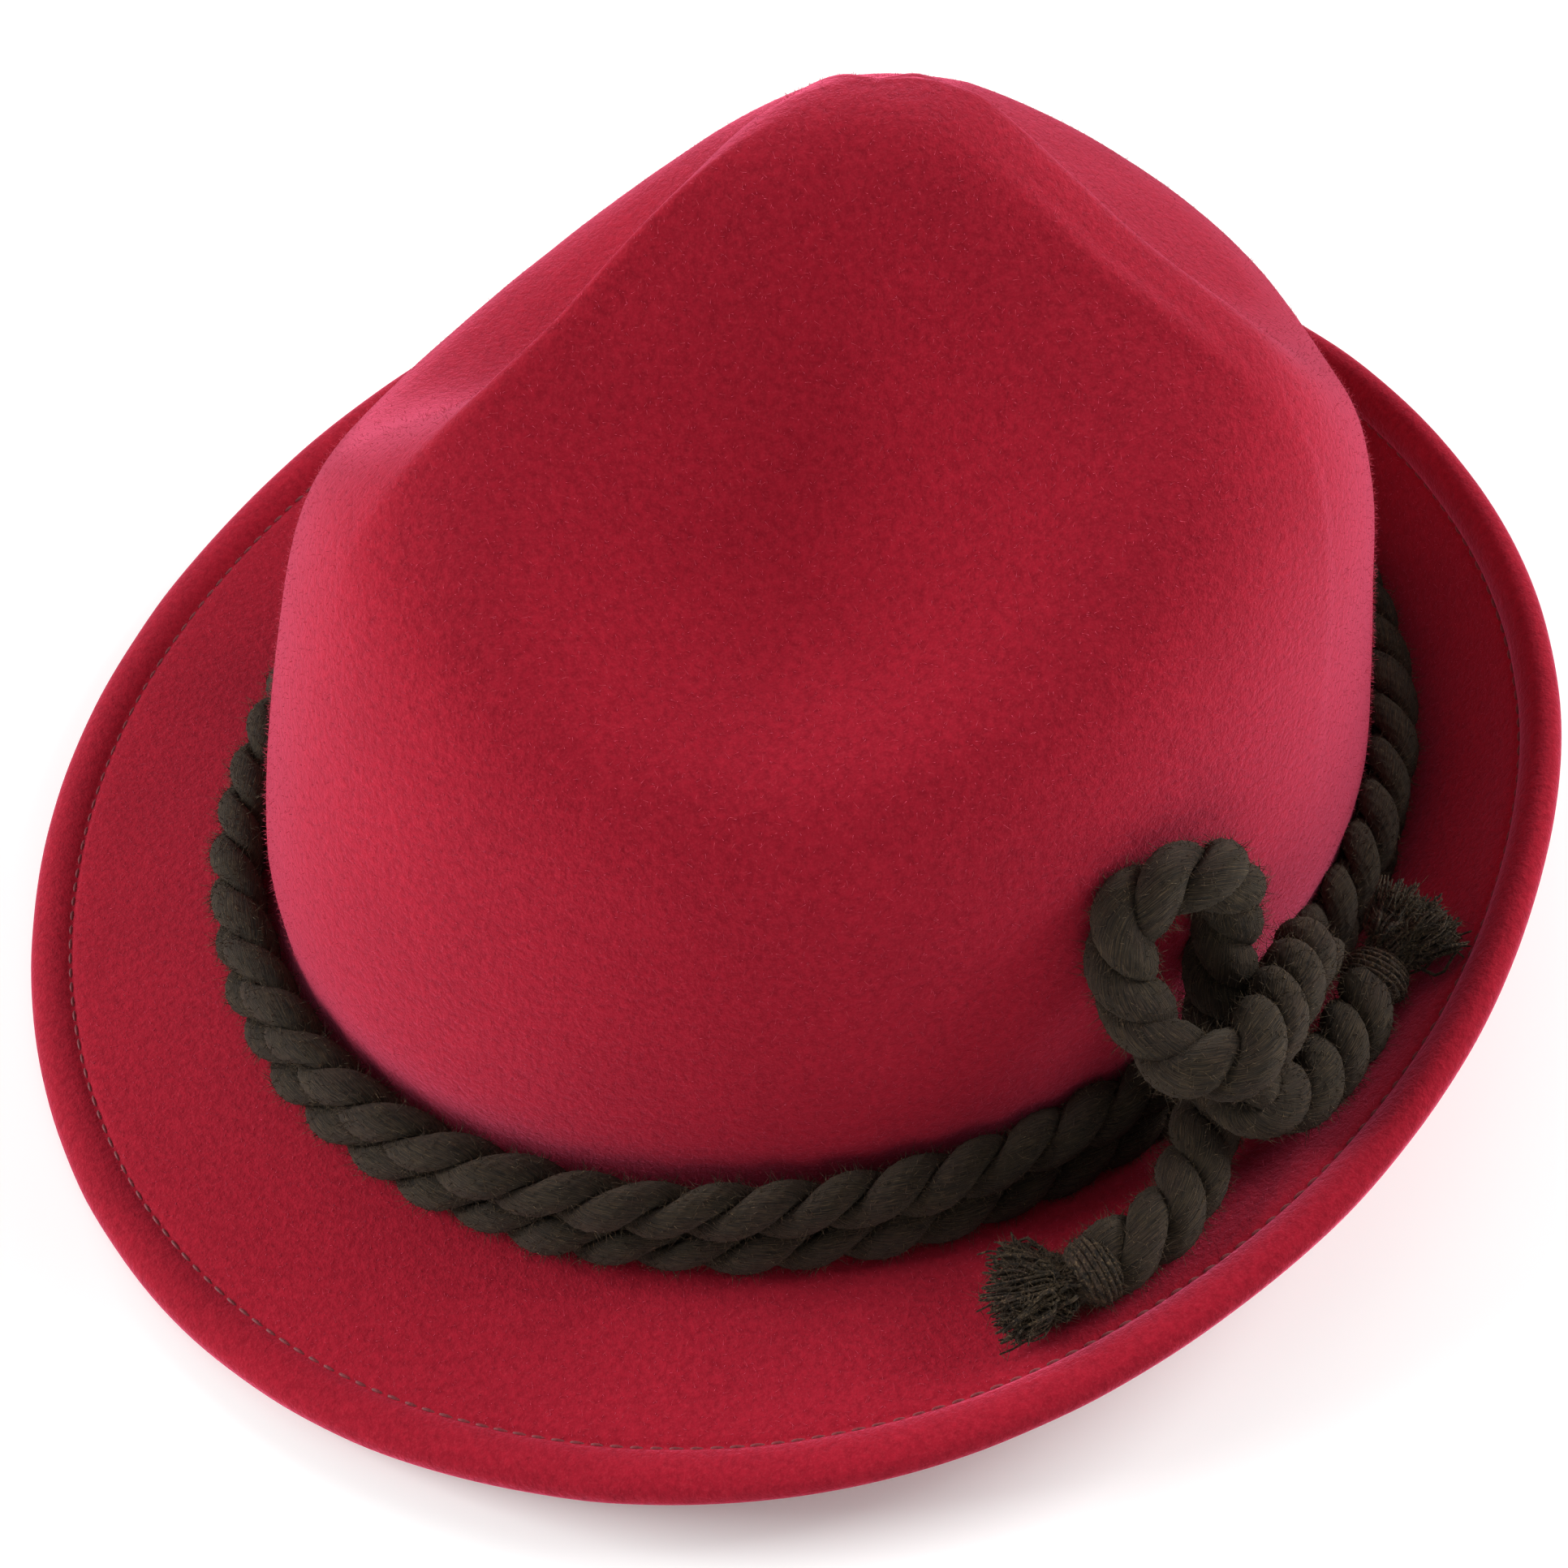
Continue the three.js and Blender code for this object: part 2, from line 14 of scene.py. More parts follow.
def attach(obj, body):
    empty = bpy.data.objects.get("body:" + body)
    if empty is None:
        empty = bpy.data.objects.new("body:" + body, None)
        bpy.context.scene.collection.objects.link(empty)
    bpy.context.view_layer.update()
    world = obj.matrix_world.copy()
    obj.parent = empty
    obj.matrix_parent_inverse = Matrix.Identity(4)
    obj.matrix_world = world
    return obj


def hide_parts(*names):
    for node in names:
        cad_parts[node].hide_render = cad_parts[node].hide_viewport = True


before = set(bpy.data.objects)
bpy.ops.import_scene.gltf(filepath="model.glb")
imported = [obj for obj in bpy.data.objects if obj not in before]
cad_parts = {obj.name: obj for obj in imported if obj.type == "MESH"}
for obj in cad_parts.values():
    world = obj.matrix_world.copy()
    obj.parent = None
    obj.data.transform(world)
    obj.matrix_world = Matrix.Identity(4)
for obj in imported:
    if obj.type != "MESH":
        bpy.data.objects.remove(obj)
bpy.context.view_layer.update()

bl_info = {
    "name": "Three-cornered felt hat",
    "version": (1, 0, 0),
    "blender": (4, 5, 0),
    "location": "View3D > Sidebar > Felt hat",
    "description": "Builds a felt hat, its cord band and half bow, and the studio around it",
    "category": "Object",
}

MM = 0.001
BODY = "root"

# ---------- shape of the felt, in millimetres and degrees ----------
HALF_LENGTH = 103.0  # foot of the crown, centre to front
HALF_WIDTH = 87.0  # foot of the crown, centre to side
LEAN_SIDE = -8.0  # the peak leans to the wearer's right
LEAN_BACK = 11.0  # and to the rear
LEAN_FOOT = 30.0  # the lean starts at this height
LEAN_SPAN = 113.0  # and is complete this much higher
DENT_AZIMUTH = 47.0  # deepest line of each side dent, from the front
REAR_AZIMUTH = 121.5  # middle of each rear corner
BACK_AZIMUTH = 168.0  # deepest line of the back dent, a little to the wearer's left
BACK_HALF = 6.5  # half width of a ridge's rounded back, in millimetres
BACK_LEAST = 4.5  # its least half width in degrees
BACK_MOST = 30.0  # and its most, where the ridges meet at the peak
FRONT_CREST = -2.5  # the front fold lies this far to the wearer's right, in degrees
REAR_CREST = 3.0  # the rear folds lie this far to the front of the corners
PINCH = 0.9  # the folded crests stand this proud
PINCH_HALF = 2.6  # and are this wide to each side
FAR_DROP = 13.0  # sag of the right rear ridge
SAG_REACH = 0.9  # which runs from the peak out to this share of the foot oval
FAR_SETTLE = 5.2  # settling of the whole right shoulder
SETTLE_FROM = 20.0  # between these azimuths on the wearer's right
SETTLE_TO = 138.0
FELT = 2.5  # felt thickness
REST_TILT = 3.6  # front raised when the hat lies on its brim
REST_LIFT = 3.7  # lifts the foot of the crown off the table
REST_FORWARD = 11.0  # centres the outline over the origin
BRIM_WIDTH = 48.0  # along the felt
BRIM_CURL = 0.25  # how much the brim's slope grows outward
BRIM_STEPS = 12  # steps in which the brim's curve is added up
ROWS_PER_STATION = 5  # rows of facets between two stations of the crown
FLAT_SECTIONS = 5  # the brim's first sections are long
FLAT_PARTS = 3  # and each gets this many rows of facets
NAP_BRIM_ROWS = 17  # rows of the brim whose nap stands
GROOVE_ALONG = 39.9  # the stitched groove beside the folded edge
SEAM_POINTS = 720  # points round a row of stitches
# Rows of stitches: piece, height off the brim's upper face, which way is out.
SEAMS = (("hem_stitches_top", -0.38, 1.0), ("hem_stitches_under", -2.75, -1.0))

# Crown profiles from the peak down. Columns: reach as a share of the foot oval, height.
FRONT_RIDGE = np.array([
    (0.00, 141.8), (0.09, 141.4), (0.17, 139.9), (0.25, 137.2), (0.33, 132.8), (0.42, 126.5),
    (0.51, 119.5), (0.60, 114), (0.69, 108.5), (0.77, 102), (0.835, 93), (0.885, 79), (0.93, 61),
    (0.975, 41), (1.01, 22), (1.015, 5),
])
REAR_RIDGE = np.array([
    (0.00, 141.8), (0.09, 141.2), (0.17, 139), (0.25, 134.8), (0.34, 130), (0.43, 125.4), (0.52, 122),
    (0.61, 118.8), (0.70, 114.8), (0.78, 108.5), (0.845, 98.3), (0.895, 83), (0.935, 63), (0.97, 42),
    (1.00, 22), (1.01, 5),
])
SIDE_DENT = np.array([
    (0.00, 141.8), (0.06, 141.5), (0.11, 139.9), (0.17, 134.8), (0.24, 123.5), (0.32, 108.8),
    (0.41, 95.8), (0.51, 87.8), (0.62, 83.6), (0.73, 81.5), (0.82, 79.2), (0.885, 73), (0.93, 57),
    (0.965, 38), (0.99, 20), (1.00, 5),
])
BACK_DENT = np.array([
    (0.00, 141.8), (0.06, 141), (0.11, 138), (0.17, 132.8), (0.24, 124), (0.32, 114), (0.41, 104),
    (0.51, 98), (0.62, 93.3), (0.72, 88.7), (0.81, 80.4), (0.875, 67.8), (0.925, 51.5), (0.965, 35),
    (0.99, 19), (1.00, 5),
])
# How the dents leave the folds, by station. Columns: how softly the fall starts; how directly it goes on
# beside the front fold, on the sides and on the backs of the rear folds, from 1 at once to 0 in a rounded
# shoulder; share of the right shoulder's settling; share of the folds' pinch.
BLEND = np.array([
    (0.3, 1, 1, 1, 0, 0), (0.3, 1, 1, 1, 0.08, 0), (0.3, 1, 1, 1, 0.3, 0), (0.2, 1, 1, 1, 0.4, 0.3),
    (0.12, 1, 0.8, 1, 0.5, 0.8), (0.1, 1, 0.6, 1, 0.8, 1), (0.1, 1, 0.5, 1, 1, 1),
    (0.12, 1, 0.4, 1, 1, 0.9), (0.2, 0.8, 0.3, 0.9, 1, 0.6), (0.35, 0.5, 0.2, 0.7, 1, 0.2),
    (0.5, 0.3, 0.1, 0.5, 1, 0), (0.7, 0.3, 0.2, 0.4, 0.9, 0), (1, 0.6, 0.6, 0.6, 0.6, 0),
    (1, 1, 1, 1, 0.25, 0), (1, 1, 1, 1, 0, 0), (1, 1, 1, 1, 0, 0),
])
# Mean slope of the brim. Columns: azimuth, slope.
BRIM_SLOPE = np.array([(0, -12.5), (45, 2), (90, 29.5), (135, 54), (180, 67)])
# Section of the brim, out along its upper face, round the folded edge and back. Columns: along, off.
BRIM_SECTION = np.array([
    (6, 0), (10, 0), (16, 0), (23, 0), (30, 0), (36, 0), (38.6, -0.05), (39.3, -0.18), (39.9, -0.5),
    (40.4, -0.12), (41.1, 0.3), (42.4, 0.7), (43.8, 0.9), (45.4, 0.75), (46.7, 0.25), (47.5, -0.55),
    (47.95, -1.7), (47.8, -2.7), (47.2, -3.6), (46.0, -4.2), (44.6, -4.5), (43.0, -4.5), (41.6, -4.2),
    (40.7, -3.6), (40.0, -2.75), (39.4, -2.5), (38, -2.5), (34, -2.5), (26, -2.5), (18, -2.5),
    (11, -2.5),
])

# ---------- cord, in millimetres ----------
# Route of the half bow from the band to the front tail, and of the side tail. Columns: x, y, z.
BOW_ROUTE = np.array([
    (90, 47, 30), (94, 41, 35), (99, 33, 39), (104, 25, 42), (106, 18, 43), (103, 12.5, 42),
    (98, 10, 43), (92.5, 9, 47), (88.5, 8.5, 54), (85.5, 11, 60.5), (85, 17.5, 63.5), (86.5, 25, 62.5),
    (86.5, 29.5, 57.5), (86.5, 31, 50.5), (88, 29.5, 43), (90, 27.5, 35.5), (95, 24.5, 30),
    (100, 20, 26), (106, 13, 23), (111, 6, 23), (114, -1, 23), (114, -9, 22),
], dtype=float)
SIDE_ROUTE = np.array([
    (107, 18, 34), (109, 24, 29), (108.5, 30, 26), (106.8, 37, 24), (104, 44, 24), (100, 50.7, 24),
], dtype=float)
# Bound ends and frayed tufts: start, end, and the way the tuft spreads.
FRONT_BINDING = ((114, -9.7, 21.9), (113.6, -16.6, 21))
SIDE_BINDING = ((99.5, 51.5, 24.1), (96.3, 57.8, 25))
FRONT_TUFT = ((113, -18.2, 20.8), (108, -26.5, 19), (16, -8, 6))
SIDE_TUFT = ((95.9, 59.2, 25.7), (94.4, 67.7, 29.2), (16, 3, 4))
# Tails: name, bound end, tuft, seed.
TAILS = (("front_tail", FRONT_BINDING, FRONT_TUFT, 5), ("side_tail", SIDE_BINDING, SIDE_TUFT, 9))
BAND_POINTS = 96  # seats found round the band
SEAT_FROM = 18  # the lower turn is slid in from here along the brim
SEAT_AIR = 0.05  # and this far above it
SEAT_HALVINGS = 18  # how finely a seat is found
DRAWN_OVER = 3  # a cord draws in over this length at its binding
CURVE_PARTS = 24  # parts of a route between two of its points
UV_LENGTH = 0.1  # metres of cord to one unit of its UV map
MOTTLE = 130.0  # how closely the swellings of a ply follow each other

# ---------- stage ----------
FLOOR_HALF = 3.0
# Square lights aimed at the hat. Columns: name, place, size, the setting that holds its power.
LIGHTS = (
    ("left_light", (-0.75, -1.05, 0.55), 0.8, "key_power"),
    ("right_light", (0.28, 1.25, 0.72), 0.7, "key_power"),
    ("front_light", (1.3, -0.75, 0.22), 0.9, "front_power"),
    ("top_light", (-0.35, 0.2, 1.3), 0.9, "top_power"),
)
LIGHTS_AIM = Vector((0, 0, 0.07))
# Camera: seen from the wearer's left and in front, from above, and turned a little about its own axis.
CAMERA_AZIMUTH = 60.71
CAMERA_ELEVATION = 51.39
CAMERA_ROLL = 3.82
CAMERA_PLACE = (0.23414, -0.12034, 0.3399)
CAMERA_LENS = 52.83
CAMERA_SHIFT = (-0.0304, 0.0005)


# ---------- formulas of the felt ----------
def unit(vectors):
    return vectors / np.linalg.norm(vectors, axis=-1, keepdims=True)


def eased(t, start, leaving, end, arriving):
    """Cubic from start to end at a share t, with the grades it leaves and arrives with."""
    return (
        (2 * t**3 - 3 * t**2 + 1) * start
        + (t**3 - 2 * t**2 + t) * leaving
        + (-2 * t**3 + 3 * t**2) * end
        + (t**3 - t**2) * arriving
    )


def foot_radius(azimuth):
    return HALF_LENGTH * HALF_WIDTH / np.hypot(HALF_WIDTH * np.cos(azimuth), HALF_LENGTH * np.sin(azimuth))


def foot_point(azimuth):
    r = foot_radius(azimuth)
    return np.stack([r * np.sin(azimuth), -r * np.cos(azimuth)], -1)


def foot_normal(azimuth):
    return unit(foot_point(azimuth) / np.array([HALF_WIDTH**2, HALF_LENGTH**2]))


def lean(height):
    u = np.clip((height - LEAN_FOOT) / LEAN_SPAN, 0, 1)
    return 0.4 * u + 0.6 * u * u * (3 - 2 * u)


def brim_slope(azimuth):
    """Smooth even curve through the slope table, level at 0 and 180 degrees."""
    slope = BRIM_SLOPE[:, 1]
    grade = np.zeros(len(slope))
    for k in range(1, len(slope) - 1):
        before = slope[k] - slope[k - 1]
        after = slope[k + 1] - slope[k]
        grade[k] = 2 * before * after / (before + after)
    step = BRIM_SLOPE[1, 0]
    a = np.abs(np.degrees(azimuth))
    i = np.clip(np.floor(a / step), 0, len(slope) - 2).astype(int)
    return eased((a - step * i) / step, slope[i], grade[i], slope[i + 1], grade[i + 1])


def brim_point(azimuth, along, off):
    """Points of the brim by distance along the felt and height off its upper face."""
    azimuth = np.asarray(azimuth, dtype=float)
    mean = brim_slope(azimuth)
    out = np.zeros_like(azimuth)
    up = np.zeros_like(azimuth)
    for i in range(BRIM_STEPS):
        share = (i + 0.5) / BRIM_STEPS * along / BRIM_WIDTH
        slope = np.radians(mean * (1 + (2 * share - 1) * BRIM_CURL))
        out = out + along / BRIM_STEPS * np.cos(slope)
        up = up + along / BRIM_STEPS * np.sin(slope)
    foot = foot_point(azimuth) + foot_normal(azimuth) * (out - off * np.sin(slope))[..., None]
    return np.concatenate([foot, (up + off * np.cos(slope))[..., None]], -1)


def back_angle(reach):
    """Half width of a ridge's rounded back in degrees, at its distance from the middle."""
    share = BACK_HALF / max(reach, BACK_HALF)
    return float(np.clip(math.degrees(math.asin(share)), BACK_LEAST, BACK_MOST))


def crown_point(azimuth, station):
    """One station of the crown, its dents blended into the ridges round the azimuth."""
    softness, front_crisp, side_crisp, back_crisp, settled, pinched = BLEND[station]
    degrees = np.degrees(azimuth)
    a = np.abs(degrees)
    left = azimuth > np.radians(FRONT_CREST)
    right = (azimuth < 0) | (degrees > BACK_AZIMUTH)
    front = a <= DENT_AZIMUTH
    side = (a > DENT_AZIMUTH) & (a <= REAR_AZIMUTH)
    ridge = np.where(front[:, None], FRONT_RIDGE[station], REAR_RIDGE[station])
    dent = np.where((front | side)[:, None], SIDE_DENT[station], BACK_DENT[station])
    # How far each azimuth is from its ridge to its dent, from 0 to 1.
    rear_back = back_angle(foot_radius(math.radians(REAR_AZIMUTH)) * REAR_RIDGE[station][0])
    side_back = REAR_CREST * rear_back / BACK_LEAST
    crest = np.where(left, FRONT_CREST, -FRONT_CREST)
    t_front = (np.where(left, degrees, a) - crest) / (DENT_AZIMUTH - crest)
    t_side = (REAR_AZIMUTH - side_back - a) / (REAR_AZIMUTH - side_back - DENT_AZIMUTH)
    from_rear = np.where(degrees > BACK_AZIMUTH, 360 - degrees, a) - REAR_AZIMUTH - rear_back
    t_back = from_rear / (np.where(right, 360 - BACK_AZIMUTH, BACK_AZIMUTH) - REAR_AZIMUTH - rear_back)
    t = np.where(front, t_front, np.where(side, t_side, t_back))
    e = softness / 2
    ramp = np.clip((t + np.hypot(t, e)) / (1 + np.hypot(1, e)), 0, 1)
    crisp = np.where(front, front_crisp, np.where(side, side_crisp, back_crisp))
    b = crisp * np.sin(np.pi / 2 * ramp) + (1 - crisp) * ramp**2 * (3 - 2 * ramp)
    sag = np.where(right & ~front, FAR_DROP, 0.0)
    drop = sag * np.sin(np.pi * np.clip(ridge[:, 0] / SAG_REACH, 0, 1))
    height = (ridge[:, 1] - drop) * (1 - b) + dent[:, 1] * b
    settle = np.sin(np.pi * np.clip((-degrees - SETTLE_FROM) / (SETTLE_TO - SETTLE_FROM), 0, 1))
    height = height - FAR_SETTLE * settled * settle
    r = foot_radius(azimuth) * (ridge[:, 0] * (1 - b) + dent[:, 0] * b)
    for fold in (FRONT_CREST, REAR_AZIMUTH - side_back, side_back - REAR_AZIMUTH):
        turn = azimuth - math.radians(fold)
        off = r * np.sin(turn) / PINCH_HALF
        height = height + PINCH * pinched * np.exp(-off * off) * (np.cos(turn) > 0.5)
    u = lean(height)
    return np.stack([r * np.sin(azimuth) + LEAN_SIDE * u, -r * np.cos(azimuth) + LEAN_BACK * u, height], -1)


def flow(rows, i, t):
    """Centripetal curve through the rows of points, a share t past row i."""
    p1 = rows[i]
    p2 = rows[min(i + 1, len(rows) - 1)]
    p0 = rows[i - 1] if i > 0 else 2 * p1 - p2
    p3 = rows[i + 2] if i + 2 < len(rows) else 2 * p2 - p1
    gaps = (np.linalg.norm(q - p, axis=-1, keepdims=True) for p, q in ((p0, p1), (p1, p2), (p2, p3)))
    d1, d2, d3 = (np.maximum(np.sqrt(gap), 1e-4) for gap in gaps)
    m1 = ((p1 - p0) / d1 - (p2 - p0) / (d1 + d2) + (p2 - p1) / d2) * d2
    m2 = ((p2 - p1) / d2 - (p3 - p1) / (d2 + d3) + (p3 - p2) / d3) * d2
    return eased(t, p1, m1, p2, m2)


def crown_rows(azimuth, per):
    """Rows of the crown's outer face from the peak to the foot, per of them to a station."""
    stations = [crown_point(azimuth, k) for k in range(len(FRONT_RIDGE))]
    stations += [brim_point(azimuth, *mark) for mark in BRIM_SECTION[:2]]
    return [flow(stations, i, k / per) for i in range(len(FRONT_RIDGE)) for k in range(per)]


def at_rest(points):
    """From the shape's own frame to the hat lying on the table, in metres."""
    c = math.cos(math.radians(REST_TILT))
    s = math.sin(math.radians(REST_TILT))
    x, y, z = points[..., 0], points[..., 1], points[..., 2]
    return np.stack([x, y * c + z * s + REST_FORWARD, -y * s + z * c + REST_LIFT], -1) * MM


# ---------- meshes ----------
def link(name, data):
    obj = bpy.data.objects.new(name, data)
    bpy.context.scene.collection.objects.link(obj)
    return obj


def smooth_piece(name, vertices, faces):
    """An object at the origin, its place in its smooth mesh."""
    mesh = bpy.data.meshes.new(name)
    mesh.from_pydata([tuple(v) for v in vertices], [], faces)
    mesh.validate()
    mesh.update()
    mesh.polygons.foreach_set("use_smooth", [True] * len(mesh.polygons))
    return link(name, mesh)


def set_nap(piece, share):
    """Marks where fibres stand: a share for each point, or one for all."""
    layer = piece.data.attributes.new("nap", "FLOAT", "POINT")
    layer.data.foreach_set("value", np.full(len(piece.data.vertices), share, dtype=np.float32))


def grid_faces(rows, columns, closed_rows=False):
    """Quads of a grid whose columns close on themselves."""
    faces = []
    for j in range(rows if closed_rows else rows - 1):
        for i in range(columns):
            k = (i + 1) % columns
            n = (j + 1) % rows
            faces.append((j * columns + i, n * columns + i, n * columns + k, j * columns + k))
    return faces


def fan(centre, first, count, onward):
    """Triangles from a centre to a ring of points, taken onward or backward."""
    faces = []
    for k in range(count):
        edge = (first + k, first + (k + 1) % count)
        faces.append((centre, *(edge if onward else edge[::-1])))
    return faces


def build_felt(settings):
    """The felt in rings from the peak, over the brim's edge and back up the inside."""
    azimuth = np.linspace(-np.pi, np.pi, settings.facets, endpoint=False)
    columns = len(azimuth)
    peak = crown_point(np.array([0.0]), 0)[0]
    outer = np.array(crown_rows(azimuth, ROWS_PER_STATION)[1:])
    across = np.roll(outer, -1, axis=1) - np.roll(outer, 1, axis=1)
    above = np.concatenate([np.broadcast_to(peak, outer[:1].shape), outer[:-1]])
    below = np.concatenate([outer[1:], brim_point(azimuth, *BRIM_SECTION[0])[None]])
    inner = outer - FELT * unit(np.cross(across, above - below))
    brim = []
    for i in range(len(BRIM_SECTION) - 1):
        parts = FLAT_PARTS if 0 < i < FLAT_SECTIONS else 1
        brim += [brim_point(azimuth, *flow(BRIM_SECTION, i, k / parts)) for k in range(parts)]
    brim.append(brim_point(azimuth, *BRIM_SECTION[-1]))
    rings = [*outer, *brim, *inner[::-2]]
    points = at_rest(np.concatenate([*rings, peak[None], peak[None] - (0, 0, FELT)]))
    # A blocked felt is never quite even: slow swells of a few tenths of a millimetre.
    for k, p in enumerate(points):
        swell = noise.noise(Vector(p) * 28.0) + 0.5 * noise.noise(Vector(p) * 70.0)
        points[k] *= 1 + settings.unevenness * swell * 0.5
    points[:, 2] = np.maximum(points[:, 2], 0)
    faces = grid_faces(len(rings), columns)
    top, bottom = len(points) - 2, len(points) - 1
    last = (len(rings) - 1) * columns
    for i in range(columns):
        k = (i + 1) % columns
        faces.append((top, i, k))
        faces.append((bottom, last + k, last + i))
    shell = smooth_piece("felt_shell", points, faces)
    nap = np.zeros(len(points))
    nap[: (len(outer) + NAP_BRIM_ROWS) * columns] = 1
    nap[top] = 1
    set_nap(shell, nap)
    return shell


# ---------- materials ----------
def set_up(tree, node, **values):
    """Sets a node's attributes and inputs, and links an input whose value is another node's output."""
    for key, value in values.items():
        plug = key.replace("_", " ")
        if isinstance(value, bpy.types.NodeSocket):
            tree.links.new(value, node.inputs[plug])
        elif hasattr(node, key):
            setattr(node, key, value)
        else:
            node.inputs[plug].default_value = value
    return node


def add(tree, kind, **values):
    return set_up(tree, tree.nodes.new(kind), **values)


def new_material(name):
    material = bpy.data.materials.new(name)
    material.use_nodes = True
    tree = material.node_tree
    return material, tree, tree.nodes["Principled BSDF"]


def coordinates(tree, kind="Object"):
    return tree.nodes.new("ShaderNodeTexCoord").outputs[kind]


def noise_texture(tree, vector, scale, detail, rough):
    node = add(tree, "ShaderNodeTexNoise", Vector=vector, Scale=scale, Detail=detail, Roughness=rough)
    return node.outputs["Fac"]


def blend_colours(tree, factor, low, high, start=0.35, end=0.65):
    """Fades from one colour to another as the factor goes from start to end."""
    node = add(tree, "ShaderNodeValToRGB", Fac=factor)
    for element, place, colour in zip(node.color_ramp.elements, (start, end), (low, high)):
        element.position = place
        element.color = (*colour, 1)
    return node.outputs["Color"]


def triple(value):
    return (value, value, value)


def mix_colours(tree, factor, first, second, mode="MIX"):
    node = add(tree, "ShaderNodeMix", data_type="RGBA", blend_type=mode, Factor=factor)
    for name, value in (("A", first), ("B", second)):
        plug = [s for s in node.inputs if s.name == name and s.type == "RGBA"][0]
        if isinstance(value, tuple):
            plug.default_value = (*value, 1)
        else:
            tree.links.new(value, plug)
    return [s for s in node.outputs if s.type == "RGBA"][0]


def combine(tree, operation, first, second):
    node = add(tree, "ShaderNodeMath", operation=operation)
    for plug, value in zip(node.inputs, (first, second)):
        if isinstance(value, (int, float)):
            plug.default_value = value
        else:
            tree.links.new(value, plug)
    return node.outputs["Value"]


def bump(tree, shader, height, strength, distance):
    node = add(tree, "ShaderNodeBump", Strength=strength, Distance=distance, Height=height)
    set_up(tree, shader, Normal=node.outputs["Normal"])


def felt_material(settings):
    """Brushed wool felt: melange of close reds, cloudy pile, a pale sheen of nap where seen edge-on."""
    material, tree, shader = new_material("brushed_felt")
    where = coordinates(tree)
    fibre = noise_texture(tree, where, 2600.0, 2.0, 0.6)
    clumps = noise_texture(tree, where, 850.0, 3.0, 0.6)
    clouds = noise_texture(tree, where, 45.0, 3.0, 0.5)
    deep, bright = tuple(settings.shade), tuple(settings.colour)
    base = blend_colours(tree, clumps, deep, bright, 0.3, 0.72)
    pale = tuple(min(1.0, 1.25 * c + 0.02) for c in bright)
    base = mix_colours(tree, blend_colours(tree, fibre, triple(0), triple(0.35), 0.5, 0.75), base, pale)
    cloudy = blend_colours(tree, clouds, (0.9, 0.88, 0.9), (1, 1, 1), 0.3, 0.7)
    base = mix_colours(tree, 1.0, base, cloudy, "MULTIPLY")
    set_up(
        tree, shader, Base_Color=base, Roughness=0.95, Specular_IOR_Level=0.12, Sheen_Weight=settings.sheen,
        Sheen_Roughness=0.4, Sheen_Tint=(*settings.sheen_colour, 1),
    )
    height = combine(tree, "ADD", combine(tree, "MULTIPLY", fibre, 0.45), clumps)
    bump(tree, shader, height, 0.6, 0.0004)
    return material


def nap_material(settings):
    """Loose fibres of the felt, some of them paler."""
    material, tree, shader = new_material("felt_nap_fibre")
    shades = noise_texture(tree, coordinates(tree), 900.0, 2.0, 0.5)
    pale = tuple(min(1.0, 1.25 * c + 0.05) for c in settings.colour)
    set_up(
        tree, shader, Base_Color=blend_colours(tree, shades, tuple(settings.colour), pale), Roughness=0.8,
        Specular_IOR_Level=0.1, Sheen_Weight=settings.sheen, Sheen_Tint=(*settings.sheen_colour, 1),
    )
    return material


def thread_material(settings):
    """Sewing thread a little deeper than the felt, with its own fine twist."""
    material, tree, shader = new_material("hem_thread")
    twist = noise_texture(tree, coordinates(tree), 3500.0, 1.0, 0.5)
    low, high = (tuple(share * c for c in settings.colour) for share in (0.3, 0.55))
    base = blend_colours(tree, twist, low, high)
    set_up(tree, shader, Base_Color=base, Roughness=0.6, Sheen_Weight=0.2)
    bump(tree, shader, twist, 0.4, 0.0001)
    return material


def yarn_material(name, settings, stretched=True, lift=1.0):
    """Melange wool yarn: olive and brown fibres, drawn out along a ply, streaked with painted shade between
    the fibres, with a few paler hairs.
    """
    material, tree, shader = new_material(name)
    where = coordinates(tree, "UV" if stretched else "Object")
    scales = ((30.0, 55.0, 1.0), (70.0, 150.0, 1.0)) if stretched else (triple(900.0), triple(2200.0))
    lengthways, fine = (
        add(tree, "ShaderNodeMapping", Vector=where, Scale=scale).outputs["Vector"] for scale in scales
    )
    fibre = noise_texture(tree, lengthways, 1.0, 4.0, 0.65)
    hairs = noise_texture(tree, fine, 1.0, 2.0, 0.6)
    patches = noise_texture(tree, coordinates(tree), 160.0, 2.0, 0.5)
    colours = (settings.colour, settings.second_colour, settings.crevice_shade_colour)
    olive, brown, crevice_shade = (tuple(lift * c for c in colour) for colour in colours)
    base = blend_colours(tree, patches, olive, brown, 0.42, 0.62)
    # painted shade between the fibres: dark streaks where the fibre noise, and with it the bump, is low
    base = mix_colours(tree, blend_colours(tree, fibre, triple(1), triple(0), 0.4, 0.62), base, crevice_shade)
    pale = tuple(min(1.0, 3.6 * c) for c in olive)
    base = mix_colours(tree, blend_colours(tree, hairs, triple(0), triple(0.85), 0.54, 0.72), base, pale)
    set_up(
        tree, shader, Base_Color=base, Roughness=0.85, Specular_IOR_Level=0.2, Sheen_Weight=settings.sheen,
        Sheen_Roughness=0.45, Sheen_Tint=(0.4, 0.33, 0.26, 1),
    )
    height = combine(tree, "ADD", combine(tree, "MULTIPLY", hairs, 0.5), fibre)
    bump(tree, shader, height, 1.0, 0.0006)
    return material


